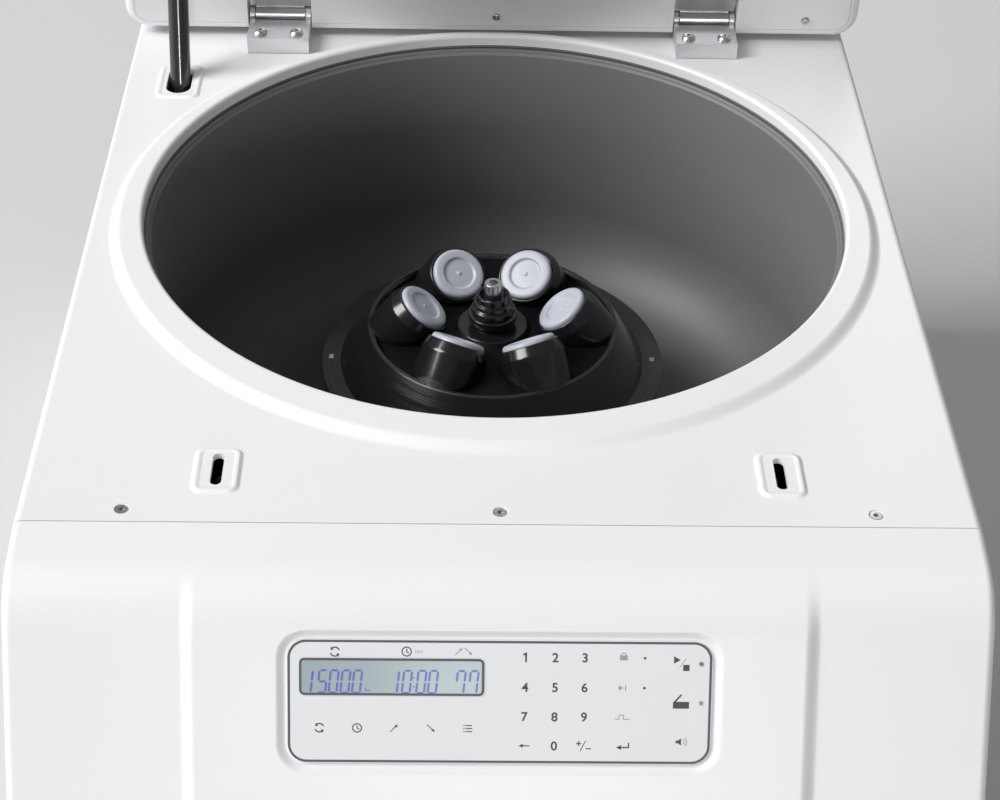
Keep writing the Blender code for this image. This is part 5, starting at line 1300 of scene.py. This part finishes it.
# %% Insulation
SKIN, FOAM_T, FOAM_HOLE_R, FOAM_TOP_DROP = 0.0021, 0.009, 0.032, 0.013
near = [(r, z) for r, z in bowl_path(SKIN, -FOAM_TOP_DROP) if r > HUB_R + HUB_RISE]
near.append((FOAM_HOLE_R, -BOWL_DEPTH - SKIN))
far_r, far_z = BOWL_R + SKIN + FOAM_T, -BOWL_DEPTH - SKIN - FOAM_T
bevel_l = (BOWL_CORNER_R + SKIN + FOAM_T) * (2 - math.sqrt(2))
far = [
    ((FOAM_HOLE_R, far_z), 0),
    ((far_r - bevel_l, far_z), 0.03),
    ((far_r, far_z + bevel_l), 0.03),
    ((far_r, -FOAM_TOP_DROP), 0),
]
foam_shape = about_bowl(near + eased(far, 8), 96)
piece("insulation_fine", foam_shape, "foam", "housing", "bowl_insulation")
print("bowl steps:", FINEST)

# %% [markdown]
# ## The rotor
#
# A fixed-angle rotor for six tubes is turned from one block of aluminium, with a boss round each bore.
# So it is made the same way here: a turned body, six bosses joined on and six bores cut, each along the
# axis of its tube. `tube_frames` holds those axes, with the origin in the middle of a cap's top. Plain
# numbers on the rim tell the places apart.

# %% Axes of the six tubes
TUBE_TILT, TUBE_PITCH_R, CAP_DROP = math.radians(37), 0.0466, 0.0820
tube_frames = []
for i in range(6):
    turn = math.tau * i / 6
    cap_spot = (TUBE_PITCH_R * math.cos(turn), TUBE_PITCH_R * math.sin(turn), -CAP_DROP)
    tilt = Matrix.Rotation(turn, 4, "Z") @ Matrix.Rotation(-TUBE_TILT, 4, "Y")
    tube_frames.append(bowl_axis @ Matrix.Translation(cap_spot) @ tilt)

# %% Rotor body
RIM_DROP, HUB_DROP = 0.1274, 0.0970
TUBE_R, TUBE_L, CAP_T, CAP_R, CAP_ROOM = 0.0170, 0.086, 0.0070, 0.0187, 0.0007
rotor_line = [
    ((0.0085, -0.1865), 0),
    ((0.030, -0.1865), 0.001),
    ((0.0405, -0.176), 0.001),
    ((0.084, -0.176), 0.002),
    ((0.088, -0.180), 0.002),
    ((0.1035, -0.17232), 0.020),
    ((0.119, -0.156), 0.006),
    ((0.119, -0.131), 0.0006),
    ((0.121, -0.131), 0.0006),
    ((0.121, -RIM_DROP), 0.0008),
    ((0.107, -RIM_DROP), 0.0015),
    ((0.0875, -0.0965), 0.0015),
    ((0.0845, -0.0965), 0.0008),
    ((0.0815, -0.1012), 0.0012),
    ((0.027, -0.1012), 0.0012),
    ((0.024, -HUB_DROP), 0.0006),
    ((0.0085, -HUB_DROP), 0),
]
rotor = solid("rotor_fine", about_bowl(eased(rotor_line, closed=True), 160))
BOSS_STEPS = 72
boss = [
    ((0, -0.036), 0),
    ((0.0235, -0.036), 0),
    ((0.0235, -0.0105), 0.006),
    ((0.0206, -0.0030), 0.0012),
    ((0, -0.0030), 0),
]
boss = turned(eased(boss, 5), BOSS_STEPS)
third_step = Matrix.Rotation(math.tau / BOSS_STEPS / 3, 4, "Z")
for tube_frame in tube_frames:
    join(rotor, moved(boss, tube_frame @ third_step))


def round_bottom(radius, length, top, steps=10):
    """A tube's outline from its round bottom up to a given height."""
    return arc(0, radius - length, radius, -90, 0, steps) + [(radius, top)]


SEAT_R = CAP_R + CAP_ROOM
MOUTH_R = SEAT_R + 0.0008
bore = round_bottom(TUBE_R + GAP, TUBE_L + GAP, -CAP_T - GAP)
bore += [(SEAT_R, -CAP_T - GAP), (SEAT_R, -0.0034)]
bore += [(MOUTH_R, -0.0026), (MOUTH_R, OVERRUN), (0, OVERRUN)]
for tube_frame in tube_frames:
    cut(rotor, moved(turned(bore, 64), tube_frame))
dress(rotor, "black_anodised", "rotor", "rotor_body", sharp=38)
print("rotor faces:", len(rotor.data.polygons))

# %% Numbers on the rotor's rim
NUMBER_R, NUMBER_H, NUMBER_PROUD = 0.114, 0.0034, 0.00006
places = []
for number in range(1, 7):
    turn = Matrix.Rotation(math.tau * (number - 1) / 6 - QUARTER, 4, "Z")
    upright_number = turn @ Matrix.Translation((0, NUMBER_R, -RIM_DROP))
    points, faces = numeral(f"0{number}", NUMBER_H)
    thin = [(x, y, NUMBER_PROUD if z > 0 else 0) for x, y, z in points]
    places.append(moved((thin, faces), bowl_axis @ upright_number))
piece("rotor_numbers", merged(places), "pale_ink", "rotor")

# %% Tubes and their caps
NECK_R, SOCKET_DEPTH = 0.0150, 0.0045
shoulder, under_cap = -CAP_T - GAP, -CAP_T + SOCKET_DEPTH
neck_top = under_cap - GAP
tube_line = round_bottom(TUBE_R, TUBE_L, shoulder)
tube_line += [(NECK_R, shoulder), (NECK_R, neck_top), (0, neck_top)]
cap_line = [
    ((0, under_cap), 0),
    ((NECK_R + CAP_ROOM, under_cap), 0.0004),
    ((NECK_R + CAP_ROOM, -CAP_T), 0.0003),
    ((CAP_R, -CAP_T), 0.0004),
    ((CAP_R, 0), 0.0032),
    ((0.0120, 0), 0.0016),
    ((0.0106, -0.0015), 0.0012),
    ((0.0050, -0.0013), 0.0010),
    ((0.0019, -0.0013), 0.0005),
    ((0.0010, -0.0006), 0.0004),
    ((0, -0.0005), 0),
]
for number, tube_frame in enumerate(tube_frames, 1):
    tube, cap = f"tube_{number}", f"cap_{number}"
    tube_shape = moved(turned(tube_line, 64), tube_frame)
    piece(tube + "_fine", tube_shape, "tube_plastic", tube, tube)
    cap_shape = moved(turned(eased(cap_line), 72), tube_frame)
    piece(cap + "_fine", cap_shape, "cap_plastic", cap, "tube_" + cap, sharp=50)
print("tubes:", len(tube_frames))

# %% Tie-down nut and bolt
NUT_R, NUT_TAPER, NUT_WAIST_R, NUT_TOP_DROP = 0.0152, 0.0013, 0.0138, 0.0720
NUT_FOOT_R, NUT_FOOT_H, NUT_FLANGE_R, NUT_FLANGE_H = 0.0125, 0.0046, 0.0170, 0.0048
NUT_WAIST_RISE, NUT_ROUND = 0.0008, 0.0007
CUP_R, CUP_BORE_R, CUP_DEPTH, THREAD_R = 0.0117, 0.0094, 0.0048, 0.0040
RIB_LINE = ((0.0014, 0.22), (0, 0.40), (0.0003, 0.92))
nut_low, nut_top = -HUB_DROP + GAP, -NUT_TOP_DROP
flange_low, cup_floor = nut_low + NUT_FOOT_H, nut_top - CUP_DEPTH
flange_top = flange_low + NUT_FLANGE_H
nut_line = [(THREAD_R + GAP, nut_low), (NUT_FOOT_R, nut_low), (NUT_FOOT_R, flange_low)]
nut_line += [(NUT_FLANGE_R, flange_low), (NUT_FLANGE_R, flange_top)]
nut_line.append((NUT_WAIST_R, flange_top + NUT_WAIST_RISE))
rib_h = (cup_floor - flange_top) / 2
for i in range(2):
    for draw, share in RIB_LINE:
        nut_line.append((NUT_R - NUT_TAPER * i - draw, flange_top + rib_h * (i + share)))
nut_line += [(CUP_R, cup_floor), (CUP_R, nut_top), (CUP_BORE_R, nut_top)]
nut_line += [(CUP_BORE_R, cup_floor), (THREAD_R + GAP, cup_floor)]
nut_shape = about_bowl(softened(nut_line, NUT_ROUND, closed=True), 96)
piece("rotor_nut_fine", nut_shape, "black_anodised", "rotor_fastener", "rotor_nut")

BOLT_R, BOLT_LOW, BOLT_TOP = 0.0061, -0.1258, -0.0625
bolt_line = [
    ((0, BOLT_LOW), 0),
    ((THREAD_R, BOLT_LOW), 0),
    ((THREAD_R, cup_floor + GAP), 0),
    ((BOLT_R, cup_floor + GAP), 0.0003),
    ((BOLT_R, BOLT_TOP), 0.0007),
    ((0, BOLT_TOP), 0),
]
bolt_socket = (0.0034, BOLT_TOP - 0.0060, BOLT_TOP + OVERRUN)
bolt_place = ("rotor_fastener", "rotor_bolt")
screw("rotor_bolt_fine", eased(bolt_line), at_bowl(0, 0, 0), bolt_socket, *bolt_place)
print("nut and bolt ready")

# %% [markdown]
# ## The lid
#
# The lid is drawn closed, in the frame of its hinge, and swung open by 80 degrees, which is how the
# photograph shows it. Its outside is a rounded box of which both the upper and the lower edges are
# rounded. Under it sits a matt liner with a dished plug over the bowl, and pockets that clear the hinges.

# %% Lid shell
HINGE_REACH, HINGE_RISE, LID_GAP = 0.245, 0.0155, 0.006
LID_HALF_W, LID_T, LID_FRONT_REACH, LID_TAIL = 0.277, 0.060, 0.326, 0.0094
LID_CORNER_R, LID_REAR_CORNER_R, LID_EDGE_R, LID_RIM_R = 0.048, 0.018, 0.016, 0.006
LID_WALL, LINER_T = 0.0070, 0.0025
UNDER = LID_GAP - HINGE_RISE
hinge_axis = Matrix.Translation(at_bowl(0, HINGE_REACH, HINGE_RISE))
lid_open = hinge_axis @ Matrix.Rotation(math.radians(-80), 4, "X")


def lid_rings(inset, low, high, rim_r, edge_r):
    """The lid's outside or its hollow: a rounded rectangle with rounded lower and upper edges."""
    half = LID_HALF_W - inset
    front_y, rear_y = -HINGE_REACH - LID_FRONT_REACH + inset, LID_TAIL - inset
    heights = arc(rim_r, low + rim_r, rim_r, -90, -180, 6) if rim_r else [(0, low)]
    heights += arc(edge_r, high - edge_r, edge_r, 180, 90, 12)
    rings = []
    for draw, level_z in heights:
        corners = (LID_CORNER_R - inset - draw, 14, LID_REAR_CORNER_R - inset - draw)
        outline = rounded_rect(-half + draw, half - draw, front_y + draw, rear_y - draw, *corners)
        rings.append([(x, y, level_z) for x, y in outline])
    return loft(rings)


HINGE_X, HINGE_W, KNUCKLE_R, CLEAR = 0.161, 0.046, 0.0055, 0.0010
LEAF_T, LEAF_LIFT, POCKET_L = 0.0035, 0.0005, 0.055
NOTCH_TOP = KNUCKLE_R + CLEAR * 2


def side_box(side, margin, low, high):
    """A box as wide as a hinge and a margin, on the left or the right."""
    half = HINGE_W / 2 + margin
    return box((side * HINGE_X - half, *low), (side * HINGE_X + half, *high))


LID_TOP = UNDER + LID_T
lid = solid("lid_shell_fine", lid_rings(0, UNDER, LID_TOP, LID_RIM_R, LID_EDGE_R))
cut(lid, lid_rings(LID_WALL, UNDER - OVERRUN, LID_TOP - LID_WALL, 0, LID_EDGE_R - LID_WALL))
for side in SIDES.values():
    cut(lid, side_box(side, CLEAR, (0, UNDER - OVERRUN), (LID_TAIL + OVERRUN, NOTCH_TOP)))
dress(lid, "white_moulding", "lid", "lid_shell", at=lid_open)
print("lid faces:", len(lid.data.polygons))

# %% Lid liner with its plug and hinge pockets
PLUG_R, PLUG_FLOOR_R, PLUG_DEPTH, PLUG_TURN = 0.227, 0.204, 0.0135, 0.01
inset = LID_WALL + GAP
half_w, rear_y = LID_HALF_W - inset, LID_TAIL - inset
front_y = -HINGE_REACH - LID_FRONT_REACH + inset
liner_corners = (LID_CORNER_R - inset, 14, LID_REAR_CORNER_R - inset)
liner_line = rounded_rect(-half_w, half_w, front_y, rear_y, *liner_corners)
liner = solid("lid_liner_fine", prism(liner_line, UNDER, UNDER + LINER_T))
plug = Matrix.Translation((0, -HINGE_REACH, UNDER))
hole_r, hole_top = PLUG_R - LINER_T * 2, LINER_T + OVERRUN
hole = [(0, -OVERRUN), (hole_r, -OVERRUN), (hole_r, hole_top), (0, hole_top)]
cut(liner, moved(turned(hole, FINE), plug @ Matrix.Rotation(PLUG_TURN, 4, "Z")))
rise = LINER_T / 2


def plug_side(first, last, draw, lift):
    """The plug's side between two of 12 steps, from its edge down to its floor in a soft S."""
    points = []
    for i in range(first, last + 1):
        reach = PLUG_R - draw - (PLUG_R - PLUG_FLOOR_R) * i / 12
        points.append((reach, lift + rise - (PLUG_DEPTH + rise) * smoothstep(i / 12)))
    return points


dish = [(0, -PLUG_DEPTH + LINER_T)] + plug_side(2, 10, LINER_T * 2, LINER_T)[::-1]
dish += [(PLUG_R - LINER_T / 3, LINER_T + rise)] + plug_side(0, 12, 0, 0) + [(0, -PLUG_DEPTH)]
join(liner, moved(turned(dish, FINE), plug))
back = rear_y - LINER_T / 2
pockets = [(-POCKET_L, LEAF_LIFT + LEAF_T + GAP), (-KNUCKLE_R - CLEAR * 2, NOTCH_TOP)]
for side in SIDES.values():
    for front_y, roof in pockets:
        low, high = (front_y - LINER_T, UNDER + LINER_T / 2), (back, roof + LINER_T)
        join(liner, side_box(side, CLEAR + LINER_T, low, high))
    for front_y, roof in pockets:
        cut(liner, side_box(side, CLEAR, (front_y, UNDER - OVERRUN), (back + OVERRUN, roof)))
dress(liner, "white_liner", "lid", "lid_liner", at=lid_open)
print("liner faces:", len(liner.data.polygons))

# %% Screws along the liner's rear edge
LINER_SCREW_X, LINER_SCREW_Y, SEATED = (-0.237, 0.0026, 0.237), -0.0062, 0.0002
button = [
    ((0, 0), 0),
    ((0.0034, 0), 0),
    ((0.0034, 0.0007), 0.0003),
    ((0.0022, 0.0018), 0.0014),
    ((0, 0.0020), 0),
]
button, button_socket = eased(button), (0.0013, 0.0009, OVERRUN)
facing_down = Matrix.Rotation(math.pi, 4, "X")
for number, x in enumerate(LINER_SCREW_X, 1):
    spot_on_liner = lid_open @ Matrix.Translation((x, LINER_SCREW_Y, UNDER)) @ facing_down
    name = f"liner_screw_{number}"
    screw(name, button, (0, 0, -SEATED), button_socket, "lid", at=spot_on_liner)

# %% Hinges and strikers
HINGE_SCREW_Y, BLOCK_TOP = 0.2182, 0.0128
dome = [
    ((0, 0), 0),
    ((0.0052, 0), 0),
    ((0.0052, 0.0010), 0.0004),
    ((0.0036, 0.0028), 0.0022),
    ((0, 0.0030), 0),
]
dome, dome_socket = eased(dome, 5), (0.0018, 0.0012, OVERRUN)
for name, side in SIDES.items():
    refined(f"hinge_block_{name}", 0.0006)
    refined(f"hinge_leaf_{name}", 0.0003)
    refined(f"hinge_pin_{name}", 0.0002)
    refined(f"lid_striker_{name}", 0.0004)
    for letter, offset in {"a": -0.0135, "b": 0.0135}.items():
        place = at_bowl(side * HINGE_X + offset, HINGE_SCREW_Y, BLOCK_TOP - SEATED)
        screw_name = f"hinge_screw_{name}_{letter}"
        screw(screw_name, dome, place, dome_socket, "housing", turn=offset * 100)
print("hinges ready")

# %% [markdown]
# ## Gas spring
#
# The spring holds the lid open. Its black tube hangs from a stud on the lid and its bright rod runs down
# to a stud on the left wall. Both lean in the plane of the hinge's swing, so they share one frame: Z
# along the rod, with the origin at the upper pivot.

# %% Spring tube and rod
STUD_Y, STUD_DROP = 0.1125, 0.181
LID_PIVOT_Y, LID_PIVOT_Z = -0.070, -0.038
EYE_R, EYE_BORE_R, TUBE_EYE_HALF, ROD_EYE_HALF = 0.0075, 0.0041, 0.0035, 0.0045
ROD_R, ROD_TOP = 0.0040, -0.132
spring_top = lid_open @ Vector((0, LID_PIVOT_Y, LID_PIVOT_Z))
spring_top.x = axis_x - SPRING_X
spring_foot = at_bowl(-SPRING_X, STUD_Y, -STUD_DROP)
lean = spring_top - spring_foot
swing = Matrix.Rotation(-math.atan2(lean.y, lean.z), 4, "X")
spring_frame = Matrix.Translation(spring_top) @ swing
tube_line = [
    ((0, -0.022), 0),
    ((0.0045, -0.022), 0),
    ((0.0045, -0.158), 0.0002),
    ((0.0063, -0.158), 0.0006),
    ((0.0075, -0.1564), 0.0010),
    ((0.0075, -0.0200), 0.0012),
    ((0.0060, -0.0185), 0.0006),
    ((0.0048, -0.0185), 0.0004),
    ((0.0048, -0.0058), 0),
    ((0, -0.0058), 0),
]
spring_tube = solid("spring_tube_fine", turned(eased(tube_line), 48))


def cross_bar(radius, half, steps):
    line = [(0, -half), (radius, -half), (radius, half), (0, half)]
    return along_x(turned(softened(line, [0, 0.0004, 0.0004, 0], 3), steps))


def add_eye(target, half, height):
    """Joins an eye to one end of the spring and bores it."""
    join(target, shifted(cross_bar(EYE_R, half, 40), (0, 0, height)))
    cut(target, shifted(cross_bar(EYE_BORE_R, half + OVERRUN, 36), (0, 0, height)))


add_eye(spring_tube, TUBE_EYE_HALF, 0)
dress(spring_tube, "black_tube", "spring_tube", "gas_spring_tube", at=spring_frame)
reach = lean.length
rod_line = [(0, -reach), (ROD_R, -reach), (ROD_R, ROD_TOP), (0, ROD_TOP)]
spring_rod = solid("spring_rod_fine", turned(softened(rod_line, [0, 0, 0.0004, 0], 3), 40))
add_eye(spring_rod, ROD_EYE_HALF, -reach)
dress(spring_rod, "chrome", "spring_rod", "gas_spring_rod", at=spring_frame)
print("spring length:", round(reach, 4))

# %% [markdown]
# ## Sides, rear and base
#
# These are sheet metal and castings of which the CAD already has the right shape, so finer copies with a
# small radius on every edge do. Only the fan grille and the feet are drawn again: their curves are short
# straight lines in the CAD.

# %% Panels, pan and inner parts
for node, bevel in {
    "gas_spring_bracket": 0.0003,
    "gas_spring_stud": 0.0003,
    "side_panel_left": 0.0007,
    "side_panel_right": 0.0007,
    "base_pan": 0.0006,
    "mains_inlet": 0.0004,
    "mains_rocker": 0.0004,
    "fan_wheel": 0.0003,
    "fan_motor": 0.0005,
    "condenser": 0.0004,
    "compressor": 0.0015,
    "latch_shaft": 0.0003,
    "latch_bearing_left": 0.0005,
    "latch_bearing_right": 0.0005,
    "lock_motor": 0.0006,
    "motor_mount": 0.0006,
}.items():
    refined(node, bevel)

# %% Feet
for number in range(1, 5):
    node = f"foot_{number}"
    low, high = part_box(node)
    middle, tall = (low + high) / 2, high.z - low.z
    radius = (high.x - low.x) / 2 * NEARLY
    foot_line = [
        ((0, 0), 0),
        ((radius * 0.86, 0), 0.0008),
        ((radius, tall * 0.25), 0.0015),
        ((radius, tall * 0.62), 0.0006),
        ((radius * 0.93, tall * 0.68), 0.0004),
        ((radius * 0.93, tall), 0.0004),
        ((0, tall), 0),
    ]
    foot_shape = shifted(turned(eased(foot_line), 56), (middle.x, middle.y, low.z))
    piece(node + "_fine", foot_shape, "rubber", "housing", node)
print("feet ready")

# %% Rear panel with the fan grille
FAN_X, FAN_H, FIRST_SLOT_R, SLOT_STEP, SLOT_W = 0.172, 0.112, 0.018, 0.017, 0.008
INLET_X, INLET_H, INLET_HALF_W, INLET_HALF_H = 0.030, 0.085, 0.013, 0.023
SPOKE_HALF_ANGLE, SPOKE_EASE, CUT_HALF = 8, 0.010, 0.02
rear_low, rear_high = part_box("rear_panel")
rear = solid("rear_panel_fine", box(rear_low, rear_high))
fan_spot = Matrix.Translation((axis_x + FAN_X, rear_high.y, FAN_H))
grille = fan_spot @ Matrix.Rotation(QUARTER, 4, "X")
for ring in range(3):
    slot_r = FIRST_SLOT_R + ring * SLOT_STEP
    half_gap = SPOKE_HALF_ANGLE * (FIRST_SLOT_R + SPOKE_EASE) / (slot_r + SPOKE_EASE)
    for start in (0, 90, 180, 270):
        line = arc(0, 0, slot_r, start + half_gap, start + 90 - half_gap, 24)
        cut(rear, moved(ribbon(line, SLOT_W, -CUT_HALF, CUT_HALF), grille))
inlet_low = (INLET_X - INLET_HALF_W, rear_low.y - OVERRUN, INLET_H - INLET_HALF_H)
inlet_high = (INLET_X + INLET_HALF_W, rear_high.y + OVERRUN, INLET_H + INLET_HALF_H)
cut(rear, box(inlet_low, inlet_high))
dress(rear, "white_paint", "housing", "rear_panel", bevel=0.0006)
print("rear panel faces:", len(rear.data.polygons))

# %% [markdown]
# ## Floor and light
#
# A plain pale floor and soft studio light: a big lamp far off to the left and above, a small one low in
# front for the sloping face, a weak one behind, and an even grey world. Their sum lights a surface that
# faces up at about the level where its colour renders as written. What the camera sees behind the object
# is brighter than what lights it, and Light Path tells the two kinds of ray apart.

# %% Floor
floor_finish = Finish("floor", (0.60, 0.605, 0.615), 0.6)
dapple = floor_finish.noise(3, 3)
floor_finish.cover((0.59, 0.595, 0.605), (0.61, 0.615, 0.625), dapple)
FLOOR_HALF = 12
corners = [(x * FLOOR_HALF, y * FLOOR_HALF, 0) for x, y in ((-1, -1), (1, -1), (1, 1), (-1, 1))]
floor = solid("floor", (corners, [(0, 1, 2, 3)]))
floor.data.materials.append(floor_finish.material)
floor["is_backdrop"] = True

# %% Lamps
LAMPS = {
    "key": ((-6.7, -1.4, 6.8), 5.0, 1020, (1.0, 0.99, 0.98)),
    "front": ((0.2, -6.0, 0.92), 0.8, 66, (0.98, 0.99, 1.0)),
    "rear": ((0.3, 2.1, 1.9), 1.2, 11, (1.0, 1.0, 1.0)),
}
TARGET = Vector((0, 0, deck_z))
for name, (place, size, power, colour) in LAMPS.items():
    light = bpy.data.lights.new(name, "AREA")
    light.shape = "SQUARE"
    light.size = size
    light.energy = power
    light.color = colour
    lamp = placed(name, light)
    lamp.location = place
    lamp.rotation_euler = (TARGET - Vector(place)).to_track_quat("-Z", "Y").to_euler()

# %% World
LIGHTING_SKY = 0.20
SEEN_SKY = 0.86
world = bpy.data.worlds.new("studio")
bpy.context.scene.world = world
world.use_nodes = True
sky = world.node_tree
rays = sky.nodes.new("ShaderNodeLightPath")
seen = sky.nodes.new("ShaderNodeMath")
seen.operation = "MAXIMUM"
sky.links.new(rays.outputs["Is Camera Ray"], seen.inputs[0])
sky.links.new(rays.outputs["Is Transmission Ray"], seen.inputs[1])
blend = sky.nodes.new("ShaderNodeMix")
blend.inputs[2].default_value = LIGHTING_SKY
blend.inputs[3].default_value = SEEN_SKY
sky.links.new(seen.outputs[0], blend.inputs[0])
backdrop = sky.nodes["Background"]
backdrop.inputs["Color"].default_value = (0.985, 0.99, 1.0, 1)
sky.links.new(blend.outputs[0], backdrop.inputs["Strength"])
print("lamps:", list(LAMPS))

# %% [markdown]
# ## The machine's size
#
# The box of the bare solids and the box of the dressed model are printed side by side, so that they
# can be compared.

# %% Sizes and the last line
dressed_low, dressed_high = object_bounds()
for label, low, high in (("cad", cad_low, cad_high), ("visual", dressed_low, dressed_high)):
    print(label, "size:", [round(b - a, 4) for a, b in zip(low, high)])
